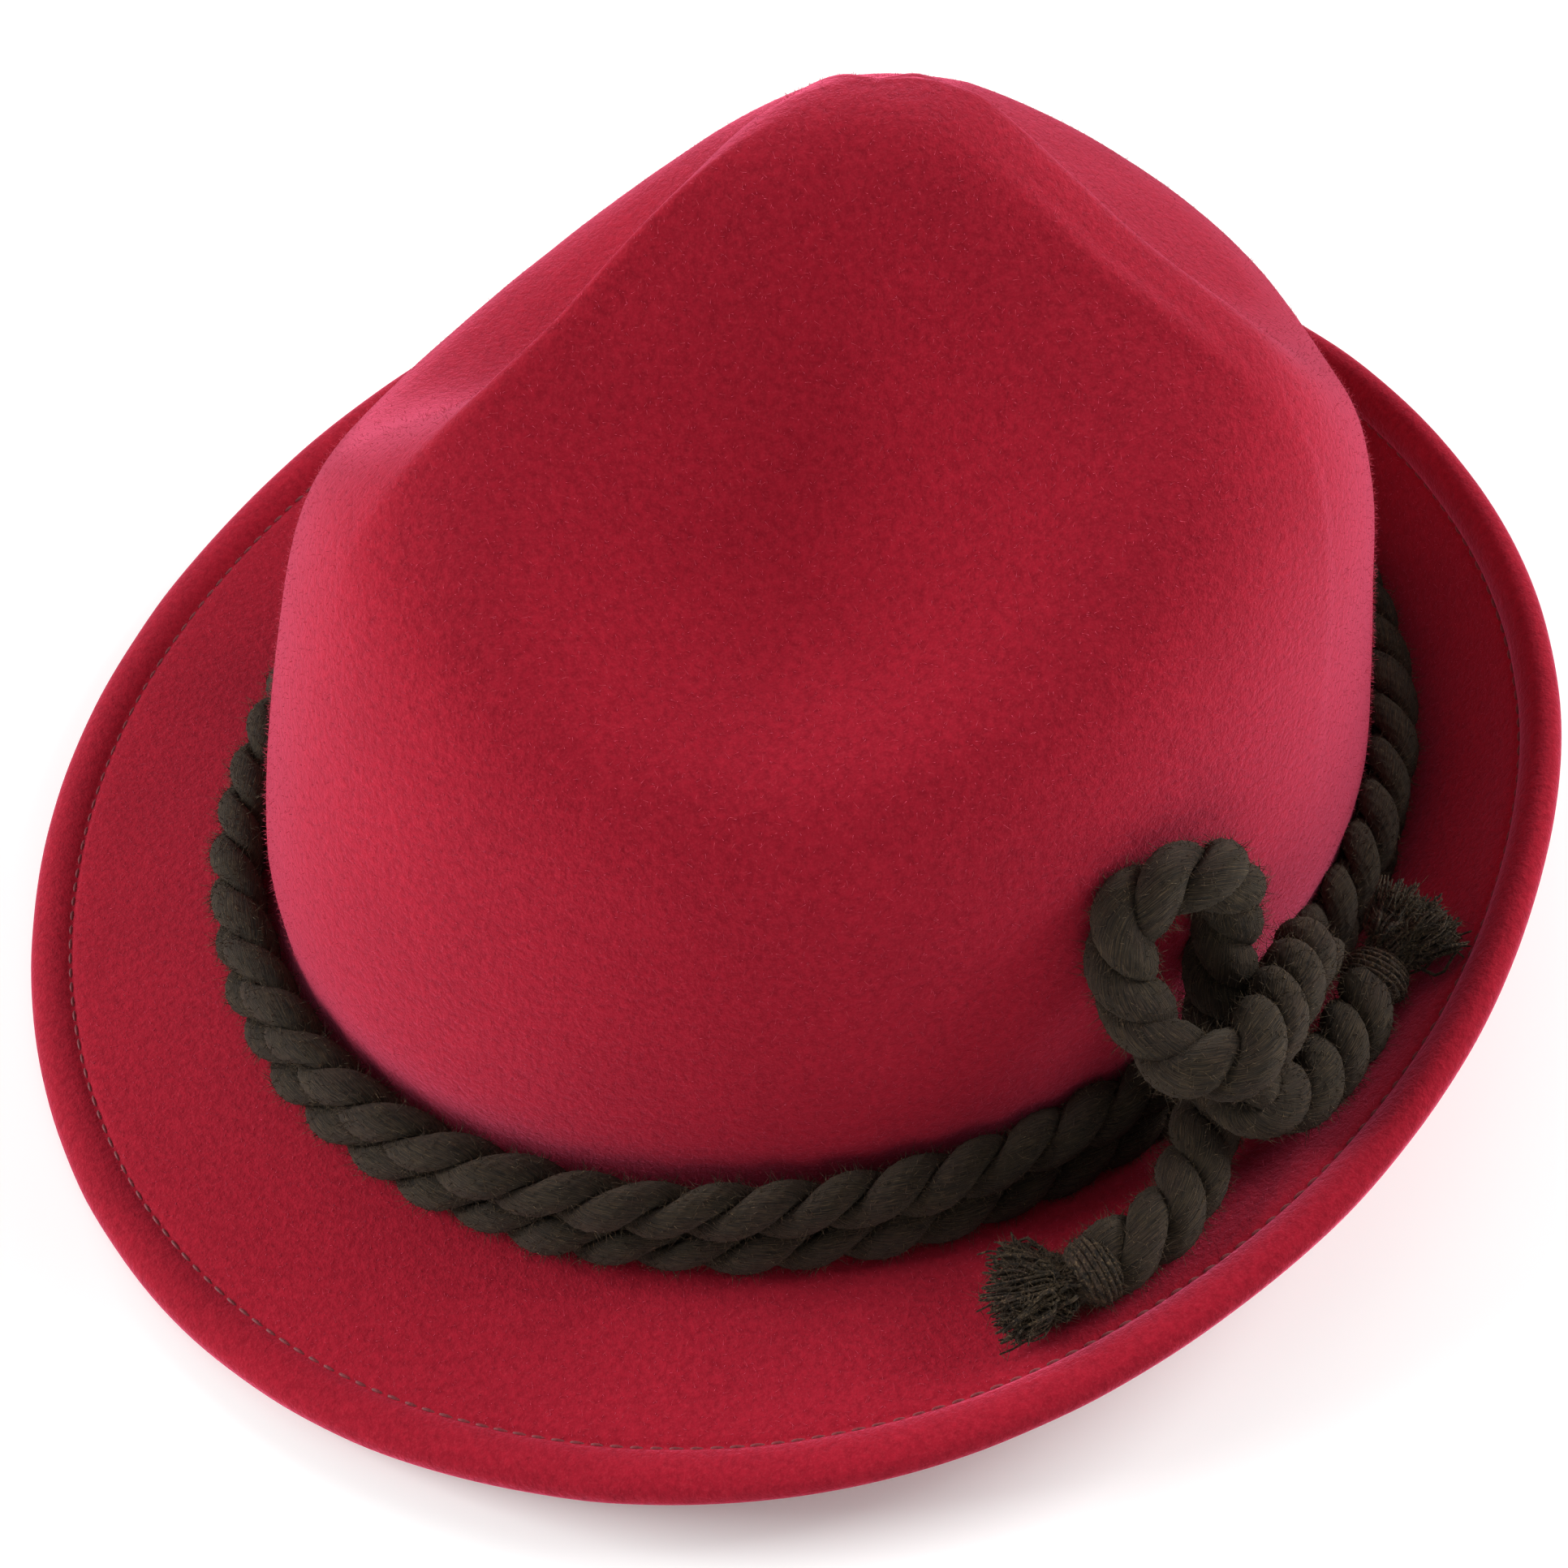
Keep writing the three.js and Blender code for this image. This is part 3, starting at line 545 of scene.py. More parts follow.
# ---------- Geometry Nodes ----------
def new_tree(name, **sockets):
    """A tree with named inputs. Returns it, its inputs' identifiers by name, and their outputs inside."""
    tree = bpy.data.node_groups.new(name, "GeometryNodeTree")
    ids = {}
    for label, kind in sockets.items():
        socket = tree.interface.new_socket(name=label, in_out="INPUT", socket_type="NodeSocket" + kind)
        ids[label] = socket.identifier
    tree.interface.new_socket(name="Result", in_out="OUTPUT", socket_type="NodeSocketGeometry")
    return tree, ids, tree.nodes.new("NodeGroupInput").outputs


def stored(tree, name, kind):
    node = add(tree, "GeometryNodeInputNamedAttribute", data_type=kind, Name=name)
    return [s for s in node.outputs if s.enabled][0]


def varied(tree, value, least, most, seed):
    """A value times a random share."""
    node = add(tree, "FunctionNodeRandomValue", data_type="FLOAT", Seed=seed)
    for plug, limit in zip([s for s in node.inputs if s.type == "VALUE"], (least, most)):
        plug.default_value = limit
    return combine(tree, "MULTIPLY", value, [s for s in node.outputs if s.type == "VALUE"][0])


def vector(tree, x, y, z):
    return add(tree, "ShaderNodeCombineXYZ", X=x, Y=y, Z=z).outputs["Vector"]


def spread_copies(tree, given, points, shape, rotation, size):
    """Ends a tree: a copy of the shape on each point, made real and given its material."""
    info = add(tree, "GeometryNodeObjectInfo", Object=shape)
    copies = add(
        tree, "GeometryNodeInstanceOnPoints",
        Points=points, Instance=info.outputs["Geometry"], Rotation=rotation, Scale=size,
    )
    real = add(tree, "GeometryNodeRealizeInstances", Geometry=copies.outputs["Instances"])
    paint = add(
        tree, "GeometryNodeSetMaterial", Geometry=real.outputs["Geometry"], Material=given["Material"]
    )
    tree.links.new(paint.outputs["Geometry"], tree.nodes.new("NodeGroupOutput").inputs[0])


def fibre_tree():
    """Short tapered fibres standing on a surface, leaning at random, denser where its nap attribute is 1."""
    tree, ids, given = new_tree(
        "standing_fibres", Surface="Geometry", Density="Float", Length="Float", Thickness="Float",
        Tilt="Float", Seed="Int", Fibre="Object", Material="Material",
    )
    scatter = add(
        tree, "GeometryNodeDistributePointsOnFaces", Mesh=given["Surface"], Seed=given["Seed"],
        Density=combine(tree, "MULTIPLY", given["Density"], stored(tree, "nap", "FLOAT")),
    )
    most = vector(tree, given["Tilt"], given["Tilt"], math.pi)
    least = add(tree, "ShaderNodeVectorMath", operation="SCALE", Vector=most, Scale=-1.0).outputs["Vector"]
    leaning = add(
        tree, "FunctionNodeRandomValue", data_type="FLOAT_VECTOR", Min=least, Max=most, Seed=given["Seed"]
    )
    euler = add(tree, "FunctionNodeEulerToRotation", Euler=leaning.outputs["Value"])
    turn = add(
        tree, "FunctionNodeRotateRotation", rotation_space="LOCAL",
        Rotation=scatter.outputs["Rotation"], Rotate_By=euler.outputs["Rotation"],
    )
    long = varied(tree, given["Length"], 0.45, 1.3, given["Seed"])
    size = vector(tree, given["Thickness"], given["Thickness"], long)
    spread_copies(tree, given, scatter.outputs["Points"], given["Fibre"], turn.outputs["Rotation"], size)
    return tree, ids


def stitch_tree():
    """One stitch on each point of a path, laid along it and facing the point's stored way up."""
    tree, ids, given = new_tree(
        "running_stitches", Path="Geometry", Count="Int", Length="Float", Width="Float", Seed="Int",
        Stitch="Object", Material="Material",
    )
    curve = add(tree, "GeometryNodeMeshToCurve", Mesh=given["Path"])
    even = add(tree, "GeometryNodeResampleCurve", Curve=curve.outputs["Curve"], Count=given["Count"])
    way_up = stored(tree, "way_up", "FLOAT_VECTOR")
    face = add(tree, "FunctionNodeAlignRotationToVector", axis="Z", Vector=way_up)
    lay = add(
        tree, "FunctionNodeAlignRotationToVector", axis="X", pivot_axis="Z",
        Rotation=face.outputs["Rotation"], Vector=add(tree, "GeometryNodeInputTangent").outputs["Tangent"],
    )
    long = varied(tree, given["Length"], 0.88, 1.1, given["Seed"])
    size = vector(tree, long, given["Width"], given["Width"])
    spread_copies(tree, given, even.outputs["Curve"], given["Stitch"], lay.outputs["Rotation"], size)
    return tree, ids


def grown(name, mesh, tree, ids, **values):
    """Runs a tree on a mesh and returns its result as a plain piece."""
    carrier = link(name + "_carrier", mesh)
    modifier = carrier.modifiers.new("grow", "NODES")
    modifier.node_group = tree
    for key, value in values.items():
        modifier[ids[key]] = value
    depsgraph = bpy.context.evaluated_depsgraph_get()
    result = bpy.data.meshes.new_from_object(carrier.evaluated_get(depsgraph))
    result.name = name
    carrier.modifiers.remove(modifier)
    bpy.data.objects.remove(carrier)
    for extra in {"nap", "way_up"} & set(result.attributes.keys()):
        result.attributes.remove(result.attributes[extra])
    return link(name, result)


def unit_fibre():
    """A slanting spike one unit long and one wide, for fibres."""
    turns = [2 * math.pi * k / 3 for k in range(3)]
    vertices = [(0.5 * math.cos(turn), 0.5 * math.sin(turn), 0.0) for turn in turns]
    vertices.append((3.0, 0.0, 1.0))
    faces = [(0, 2, 1)] + [(k, (k + 1) % 3, 3) for k in range(3)]
    return smooth_piece("unit_fibre", vertices, faces)


def unit_stitch():
    """A rounded thread one unit long and one wide, dipping at both ends."""
    sides, rings = 8, 7
    vertices = [(-0.5, 0.0, -0.5)]
    for j in range(1, rings):
        x = -0.5 * math.cos(math.pi * j / rings)
        girth = 0.5 * math.sin(math.pi * j / rings) ** 0.5
        for k in range(sides):
            turn = 2 * math.pi * k / sides
            vertices.append((x, girth * math.cos(turn), girth * math.sin(turn) - 1.6 * x * x))
    end = len(vertices)
    vertices.append((0.5, 0.0, -0.5))
    faces = []
    for a in range(1, end - sides, sides):
        for k in range(sides):
            n = (k + 1) % sides
            faces.append((a + k, a + n, a + sides + n, a + sides + k))
    faces += fan(0, 1, sides, False) + fan(end, end - sides, sides, True)
    return smooth_piece("unit_stitch", vertices, faces)


# ---------- cords ----------
def even_curve(points, spacing, closed):
    """Evenly spaced points along the smooth curve through the given ones, and its length, in metres."""
    rows = list(points) + (list(points[:3]) if closed else [])
    dense = [flow(rows, i, k / CURVE_PARTS) for i in range(len(rows) - 1) for k in range(CURVE_PARTS)]
    if closed:
        dense = dense[CURVE_PARTS:-CURVE_PARTS]
        dense.append(dense[0])
    else:
        dense.append(rows[-1])
    dense = np.array(dense)
    run = np.concatenate([[0], np.cumsum(np.linalg.norm(np.diff(dense, axis=0), axis=1))])
    count = max(int(round(run[-1] / spacing)), 8)
    wanted = np.linspace(0, run[-1], count + 1)
    if closed:
        wanted = wanted[:-1]
    return np.stack([np.interp(wanted, run, dense[:, axis]) for axis in range(3)], -1), run[-1]


def directions(line, closed=False):
    """Unit vectors along a line of points."""
    if closed:
        return unit(np.roll(line, -1, axis=0) - np.roll(line, 1, axis=0))
    return unit(np.gradient(line, axis=0))


def carried_frames(points, closed):
    """Directions along a path, and two across it that turn as little as they can."""
    tangent = directions(points, closed)
    across = [unit(np.cross(tangent[0], (0.0, 0.0, 1.0)))]
    for t in tangent[1:]:
        across.append(unit(across[-1] - t * np.dot(across[-1], t)))
    across = np.array(across)
    if closed:
        last = across[-1] - tangent[0] * np.dot(across[-1], tangent[0])
        miss = math.atan2(np.dot(np.cross(last, across[0]), tangent[0]), np.dot(last, across[0]))
        turn = np.linspace(0, miss, len(points), endpoint=False)[:, None]
        across = across * np.cos(turn) + np.cross(tangent, across) * np.sin(turn)
    return tangent, across, np.cross(tangent, across)


def wrap_uv(mesh, uv, around):
    """Gives the points' UV to their faces, and carries those that cross a seam on past it.

    Across the path the map repeats at 1, and along a closed path at around, which is 0 for an open one.
    """
    layer = mesh.uv_layers.new(name="UVMap")
    loops = np.empty(len(mesh.loops), dtype=np.int32)
    mesh.loops.foreach_get("vertex_index", loops)
    corner = uv[loops]
    for face in mesh.polygons:
        part = corner[face.loop_start:face.loop_start + face.loop_total]
        for axis, period in ((0, around), (1, 1)):
            value = part[:, axis]
            if period and value.max() - value.min() > 0.5:
                part[:, axis] = np.where(value < value.max() - 0.5, value + period, value)
    layer.data.foreach_set("uv", corner.astype(np.float32).ravel())


def twisted_cord(name, points, settings, pitch, closed=False, phase=0.0, seed=0.0, girth=1.0, hidden=0.0):
    """Two plies laid round a path; each is a bundle of yarns, so its section is lobed.

    The last part of the path, as long as hidden, is drawn in where a binding squeezes it.
    """
    spacing = settings.step * MM
    path, length = even_curve(points, spacing, closed)
    tangent, across, over = carried_frames(path, closed)
    count, sides = len(path), settings.sides
    radius = settings.diameter * MM / 2 * girth
    turns = length / (pitch * MM)
    lay = (2 - settings.offset) / (1 - settings.offset) * 0.5 + 0.5
    if closed:
        turns = round(turns)
        lay = round(lay * turns * settings.yarns) / (turns * settings.yarns)
    s = np.linspace(0, 1, count, endpoint=not closed)
    drawn = np.clip((s * length - length + hidden) / (DRAWN_OVER * MM), 0, 1) if hidden else 0 * s
    squeeze = (1 - settings.drawn_in * drawn)[:, None]
    angle = phase + settings.hand * 2 * np.pi * turns * s
    theta = np.linspace(-np.pi, np.pi, sides, endpoint=False)
    drift = lay * (angle - phase)
    yarn = theta[None, :] + drift[:, None]
    ridge = (1 - settings.groove * np.abs(np.sin(settings.yarns * yarn / 2)) ** 4) * squeeze
    vertices, faces, uv = [], [], []
    for ply in range(2):
        swell = np.array([
            noise.noise(Vector((k * spacing * MOTTLE, 7.1 * ply + seed, 2.3))) for k in range(count)
        ])
        if closed:
            swell *= np.clip(s * 40, 0, 1) * np.clip((1 - s) * 40, 0, 1)
        swell = 1 + settings.unevenness * swell[:, None]
        a = angle + np.pi * ply
        out = np.cos(a)[:, None] * across + np.sin(a)[:, None] * over
        line = path + radius * settings.offset * squeeze * out
        side = unit(np.cross(directions(line, closed), out))
        thick = radius * (1 - settings.offset) * swell * ridge
        wide = radius * settings.flatten * swell * ridge
        ring = (
            line[:, None, :]
            + (thick * np.cos(theta))[..., None] * out[:, None, :]
            + (wide * np.sin(theta))[..., None] * side[:, None, :]
        )
        base = len(vertices)
        vertices += list(ring.reshape(-1, 3))
        faces += [tuple(base + v for v in face[::-1]) for face in grid_faces(count, sides, closed)]
        u = np.repeat(s * length / UV_LENGTH, sides) + 0.37 * ply
        uv.append(np.stack([u, (yarn / (2 * np.pi)).ravel()], -1))
        for end, far in () if closed else ((0, False), (count - 1, True)):
            faces += fan(len(vertices), base + end * sides, sides, far)
            vertices.append(line[end] + tangent[end] * radius * 0.25 * (1 if far else -1))
            uv.append(np.array([[s[end] * length / UV_LENGTH, drift[end] / (2 * np.pi)]]))
    cord = smooth_piece(name, vertices, faces)
    wrap_uv(cord.data, np.concatenate(uv), length / UV_LENGTH if closed else 0)
    set_nap(cord, 1)
    return cord, path, length


def wall_distance(wall, point):
    """Least distance from a point to a line of points."""
    start, run = wall[:-1], wall[1:] - wall[:-1]
    t = np.clip(np.sum((point - start) * run, axis=1) / np.sum(run * run, axis=1), 0, 1)
    return np.linalg.norm(start + t[:, None] * run - point, axis=1).min()


def slid(wall, clear, place):
    """Slides a point from 0, free of the wall, towards 1 until it is only that clear."""
    free, shut = 0.0, 1.0
    for _ in range(SEAT_HALVINGS):
        middle = (free + shut) / 2
        if wall_distance(wall, place(middle)) < clear:
            shut = middle
        else:
            free = middle
    return place(free)


def band_seat(azimuth, settings):
    """Centres of the cord's two turns: the lower on the brim, the upper on it and against the crown."""
    one = np.array([azimuth])
    clear = settings.diameter / 2 - settings.press
    crown = [row[0] for row in crown_rows(one, 1)[-5:]]
    wall = np.array(crown + [brim_point(one, along, 0)[0] for along in BRIM_SECTION[:4, 0]])
    lower = slid(wall, clear, lambda t: brim_point(one, SEAT_FROM * (1 - t), clear + SEAT_AIR)[0])
    n = foot_normal(one)[0]

    def tipped(t):
        tip = math.radians(settings.most_tip * t)
        inward, up = -math.sin(tip), math.cos(tip)
        return lower + settings.nesting * np.array([inward * n[0], inward * n[1], up])

    return lower, slid(wall, clear, tipped)


def binding(name, ends, settings):
    """Yarn wound tightly round the cord's end: a barrel with a ridge for each turn."""
    start, end = (np.array(p, dtype=float) * MM for p in ends)
    length = np.linalg.norm(end - start)
    axis = unit(end - start)
    wide = unit(np.cross(axis, (0.0, 0.0, 1.0)))
    deep = np.cross(axis, wide)
    around, rows = 40, 56
    vertices = []
    for t in np.arange(rows) / (rows - 1):
        shape = 0.62 + 0.38 * math.sin(math.pi * t) ** 0.6
        for a in np.linspace(0, 2 * np.pi, around, endpoint=False):
            wind = t * settings.windings + a / (2 * np.pi)
            ridge = abs(math.sin(math.pi * wind)) ** 0.6
            r = settings.binding_radius * MM * (shape * (0.9 + 0.1 * ridge))
            r *= 1 + 0.04 * noise.noise(Vector((math.cos(a) * 2, math.sin(a) * 2, wind)))
            vertices.append(start + axis * t * length + r * (math.cos(a) * wide + math.sin(a) * deep))
    faces = [face[::-1] for face in grid_faces(rows, around)]
    last = len(vertices)
    faces += fan(last, 0, around, False) + fan(last + 1, last - around, around, True)
    wrap = smooth_piece(name, [*vertices, start, end], faces)
    set_nap(wrap, 1)
    return wrap


def tuft(name, ends, settings, seed):
    """Frayed cord end: loose yarns that fan out from the binding, each one a thin waving tube."""
    rng = np.random.default_rng(seed)
    start, end, spread = (np.array(p, dtype=float) * MM for p in ends)
    length = np.linalg.norm(end - start)
    axis = unit(end - start)
    wide = unit(spread - axis * np.dot(spread, axis))
    deep = np.cross(axis, wide)
    sides, steps = 5, 8
    share = np.arange(steps + 1) / steps
    turns = 2 * math.pi * np.arange(sides) / sides
    vertices, faces = [], []
    for _ in range(settings.strands):
        a = rng.uniform(0, 2 * np.pi)
        rim = math.sqrt(rng.uniform(0, 1))
        x, y = rim * math.cos(a), rim * math.sin(a)
        outward = x * wide + y * deep
        root = start - axis * 1.5 * MM + outward * 2.6 * MM
        reach = length * rng.uniform(0.82, 1.12) * (1 - 0.18 * x * x)
        tip = (
            start + axis * reach
            + wide * x * settings.tuft_half_width * MM * rng.uniform(0.85, 1.05)
            + deep * y * settings.tuft_half_depth * MM * rng.uniform(0.8, 1.1)
            + rng.normal(0, 0.8 * MM, 3)
        )
        lead = root + axis * 2.2 * MM + outward * (1.0 + rim * 0.9) * MM
        wave = rng.normal(0, 0.9 * MM, 3)
        girth = settings.strand_radius * MM * rng.uniform(0.7, 1.25)
        t = share[:, None]
        line = (1 - t) ** 2 * root + 2 * t * (1 - t) * lead + t * t * tip
        line = line + wave * np.sin(math.pi * t * 2.2 + a)
        run = directions(line)
        one = unit(np.cross(run, deep))
        two = np.cross(run, one)
        base = len(vertices)
        for j, r in enumerate(girth * (1 - 0.45 * share**3)):
            vertices += [line[j] + r * (math.cos(turn) * one[j] + math.sin(turn) * two[j]) for turn in turns]
        faces += [tuple(base + v for v in face[::-1]) for face in grid_faces(steps + 1, sides)]
        faces.append(tuple(range(base, base + sides))[::-1])
        faces += fan(len(vertices), base + steps * sides, sides, True)
        vertices.append(line[-1] + run[-1] * girth)
    brush = smooth_piece(name, vertices, faces)
    set_nap(brush, 1)
    return brush


# ---------- settings ----------
def tint(name, description, default):
    return bpy.props.FloatVectorProperty(
        name=name, description=description, subtype="COLOR", size=3, min=0.0, max=1.0, default=default
    )


def number(name, description, default, **limits):
    return bpy.props.FloatProperty(name=name, description=description, default=default, **limits)


def whole(name, description, default, **limits):
    return bpy.props.IntProperty(name=name, description=description, default=default, **limits)


class FELT_PG_body(bpy.types.PropertyGroup):
    """The felt and its surface"""

    colour: tint("Felt colour", "Colour of the felt, linear", (0.375, 0.009, 0.024))
    shade: tint("Deep colour", "Colour deep in the nap, linear", (0.25, 0.004, 0.014))
    sheen_colour: tint("Sheen colour", "Colour of the nap seen edge-on", (1.0, 0.16, 0.3))
    sheen: number("Sheen", "How strongly the nap shines", 1.0, min=0, max=1)
    facets: whole("Facets", "Facets round the hat", 360, min=40, max=400)
    unevenness: number("Unevenness", "Swells in the blocked felt, as a share of its distance", 0.004)
    nap_density: number("Nap density", "Fibres on a square metre", 380000.0, min=0)
    nap_length: number("Nap length", "Length of a standing fibre", 0.001, subtype="DISTANCE", unit="LENGTH")
    stitch_count: whole("Stitches", "Stitches round the brim", 262, min=10)


class FELT_PG_cord(bpy.types.PropertyGroup):
    """The twisted wool cord, in millimetres"""

    colour: tint("Olive", "First wool colour, linear", (0.037, 0.0245, 0.0125))
    second_colour: tint("Brown", "Second wool colour, linear", (0.037, 0.0215, 0.014))
    # painted shade: the near-black colour laid between the fibres of the cord
    crevice_shade_colour: tint("Deep", "Colour between the fibres, linear", (0.006, 0.0045, 0.003))
    sheen: number("Sheen", "Sheen of the loose fibres", 0.2, min=0, max=1)
    diameter: number("Diameter", "Width over both plies, mm", 9.4, min=4)
    mean_diameter: number("Mean diameter", "Diameter of a round cord as thick as the twist, mm", 8.5, min=4)
    bow_girth: number("Bow girth", "Bow's cord against the band's", 1.22)
    buried: number("Buried", "Share of the tuft that the twist runs on into", 0.45)
    pitch: number("Pitch", "Length of a full turn of the plies, mm", 21.0)
    bow_pitch: number("Bow pitch", "The same in the half bow, mm", 17.5)
    hand: whole("Hand", "1 for right-hand twist, -1 for left", -1)
    press: number("Press", "How far the cord beds into the felt, mm", 0.35)
    nesting: number("Nesting", "Spacing of the band's turns, mm", 7.4)
    most_tip: number("Tip", "Most lean of the upper turn to the crown, degrees", 12)
    offset: number("Ply offset", "Ply centre, share of the radius", 0.49)
    flatten: number("Ply width", "Half width of a ply, share of the radius", 0.62)
    yarns: whole("Yarns", "Yarns seen round a ply", 11, min=3)
    drawn_in: number("Drawn in", "Share the cord loses inside a binding", 0.42)
    groove: number("Groove", "Depth between yarns, share of the ply", 0.06)
    unevenness: number("Unevenness", "Swelling of the plies", 0.24)
    sides: whole("Sides", "Facets round a ply", 36, min=8)
    step: number("Step", "Spacing of sections along the cord, mm", 1.0)
    binding_radius: number("Binding", "Radius of the wound ends, mm", 5.6)
    windings: whole("Windings", "Turns of yarn on an end", 7)
    strands: whole("Strands", "Yarns in a tuft", 420)
    strand_radius: number("Strand", "Radius of a frayed yarn, mm", 0.3)
    tuft_half_width: number("Tuft width", "Half width of a tuft, mm", 9.5)
    tuft_half_depth: number("Tuft depth", "Half depth of a tuft, mm", 4.5)
    fuzz_density: number("Fuzz", "Stray fibres on a square metre", 620000.0)


class FELT_PG_stage(bpy.types.PropertyGroup):
    """Floor, light and camera"""

    floor_colour: tint("Floor", "Colour of the floor, linear", (0.99, 0.99, 0.99))
    floor_glow: number("Floor glow", "Light of its own that the lit table gives", 0.1)
    key_power: number("Side lights", "Power of each side light, W", 23.0)
    front_power: number("Front light", "Power of the front light, W", 6.0)
    top_power: number("Top light", "Power of the top light, W", 1.0)
    surround: number("Surround", "Brightness of the pale surround", 0.31)


# ---------- operators ----------
def hand_over(piece, node=None, material=None):
    """Puts a finished piece on the hat's body, in the place of the node that it shows."""
    if material:
        piece.data.materials.append(material)
    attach(piece, BODY)
    if node:
        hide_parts(node)


def grow_fibres(pieces, slot, **values):
    """Grows fibres on pieces, given as the name of each and the name that its fibres get."""
    tree, ids = fibre_tree()
    spike = unit_fibre()
    for name, fibres in pieces.items():
        hand_over(grown(fibres, bpy.data.objects[name].data, tree, ids, Fibre=spike, **values))
    bpy.data.objects.remove(spike)


class FELT_OT_body(bpy.types.Operator):
    """Make the felt crown and brim with its folded edge"""

    bl_idname = "felt_hat.body"
    bl_label = "Felt body"

    def execute(self, context):
        settings = context.scene.felt_body
        hand_over(build_felt(settings), "felt_body", felt_material(settings))
        return {"FINISHED"}


class FELT_OT_nap(bpy.types.Operator):
    """Grow the short standing fibres of the felt"""

    bl_idname = "felt_hat.nap"
    bl_label = "Felt nap"

    def execute(self, context):
        settings = context.scene.felt_body
        grow_fibres(
            {"felt_shell": "felt_nap"}, "felt", Density=settings.nap_density, Length=settings.nap_length,
            Thickness=0.00008, Tilt=1.0, Seed=11, Material=nap_material(settings),
        )
        return {"FINISHED"}


class FELT_OT_stitches(bpy.types.Operator):
    """Sew the folded brim edge down"""

    bl_idname = "felt_hat.stitches"
    bl_label = "Hem stitches"

    def execute(self, context):
        settings = context.scene.felt_body
        tree, ids = stitch_tree()
        thread = unit_stitch()
        material = thread_material(settings)
        azimuth = np.linspace(-np.pi, np.pi, SEAM_POINTS, endpoint=False)
        for name, off, lift in SEAMS:
            seam = at_rest(brim_point(azimuth, GROOVE_ALONG, off))
            way_up = unit(at_rest(brim_point(azimuth, GROOVE_ALONG, off + lift)) - seam)
            mesh = bpy.data.meshes.new(name)
            edges = [(i, (i + 1) % SEAM_POINTS) for i in range(SEAM_POINTS)]
            mesh.from_pydata([tuple(p) for p in seam], edges, [])
            layer = mesh.attributes.new("way_up", "FLOAT_VECTOR", "POINT")
            layer.data.foreach_set("vector", way_up.astype(np.float32).ravel())
            row = grown(
                name, mesh, tree, ids, Count=settings.stitch_count, Length=0.0024, Width=0.00055, Seed=3,
                Stitch=thread, Material=material,
            )
            hand_over(row)
        bpy.data.objects.remove(thread)
        return {"FINISHED"}


class FELT_OT_band(bpy.types.Operator):
    """Lay the two turns of twisted cord round the foot of the crown"""

    bl_idname = "felt_hat.band"
    bl_label = "Cord band"

    def execute(self, context):
        settings = context.scene.felt_cord
        wool = yarn_material("twisted_wool", settings)
        azimuths = np.linspace(-np.pi, np.pi, BAND_POINTS, endpoint=False)
        seats = at_rest(np.array([band_seat(a, settings) for a in azimuths]))
        for index, (node, phase) in enumerate((("band_cord_lower", 0.9), ("band_cord_upper", 0.0))):
            cord, _, _ = twisted_cord(
                node + "_twist", seats[:, index], settings, settings.pitch, True, phase, 3.0 * index
            )
            hand_over(cord, node, wool)
        return {"FINISHED"}


class FELT_OT_bow(bpy.types.Operator):
    """Tie the half bow and its two tails, with bound and frayed ends"""

    bl_idname = "felt_hat.bow"
    bl_label = "Half bow"

    def execute(self, context):
        settings = context.scene.felt_cord
        wool = bpy.data.materials["twisted_wool"]
        wound = yarn_material("wound_wool", settings, False)
        ends = []
        for tail, bound, frayed, seed in TAILS:
            wrap = binding(tail + "_wrap", bound, settings)
            brush = tuft(tail + "_brush", frayed, settings, seed)
            hand_over(wrap, tail + "_binding", wound)
            hand_over(brush, tail + "_tuft", wound)
            ends.append([wrap, brush])
        for (name, node, route, phase), (_, bound, frayed, _), end_pieces in zip((
            ("bow_twist", "bow_cord", BOW_ROUTE, 0.4), ("side_tail_twist", "side_tail_cord", SIDE_ROUTE, 2.0),
        ), TAILS, ends):
            middle, root, tip = (np.array(p, dtype=float) for p in (bound[1], frayed[0], frayed[1]))
            inside = root + (tip - root) * settings.buried
            hidden = np.linalg.norm(inside - np.array(bound[0])) * MM
            cord, path, length = twisted_cord(
                name, np.concatenate([route, middle[None], inside[None]]) * MM, settings, settings.bow_pitch,
                False, phase, 11.0, settings.bow_girth, hidden,
            )
            hand_over(cord, node, wool)
        return {"FINISHED"}


class FELT_OT_fuzz(bpy.types.Operator):
    """Raise the stray fibres of the wool cord"""

    bl_idname = "felt_hat.fuzz"
    bl_label = "Cord fuzz"

    def execute(self, context):
        settings = context.scene.felt_cord
        names = (
            "band_cord_lower_twist", "band_cord_upper_twist", "bow_twist", "side_tail_twist",
            "front_tail_wrap", "side_tail_wrap", "front_tail_brush", "side_tail_brush",
        )
        grow_fibres(
            {name: name + "_fuzz" for name in names}, "wool_cord", Density=settings.fuzz_density,
            Length=0.0026, Thickness=0.00013, Tilt=1.2, Seed=21,
            Material=yarn_material("wool_fuzz", settings, False, 1.9),
        )
        return {"FINISHED"}


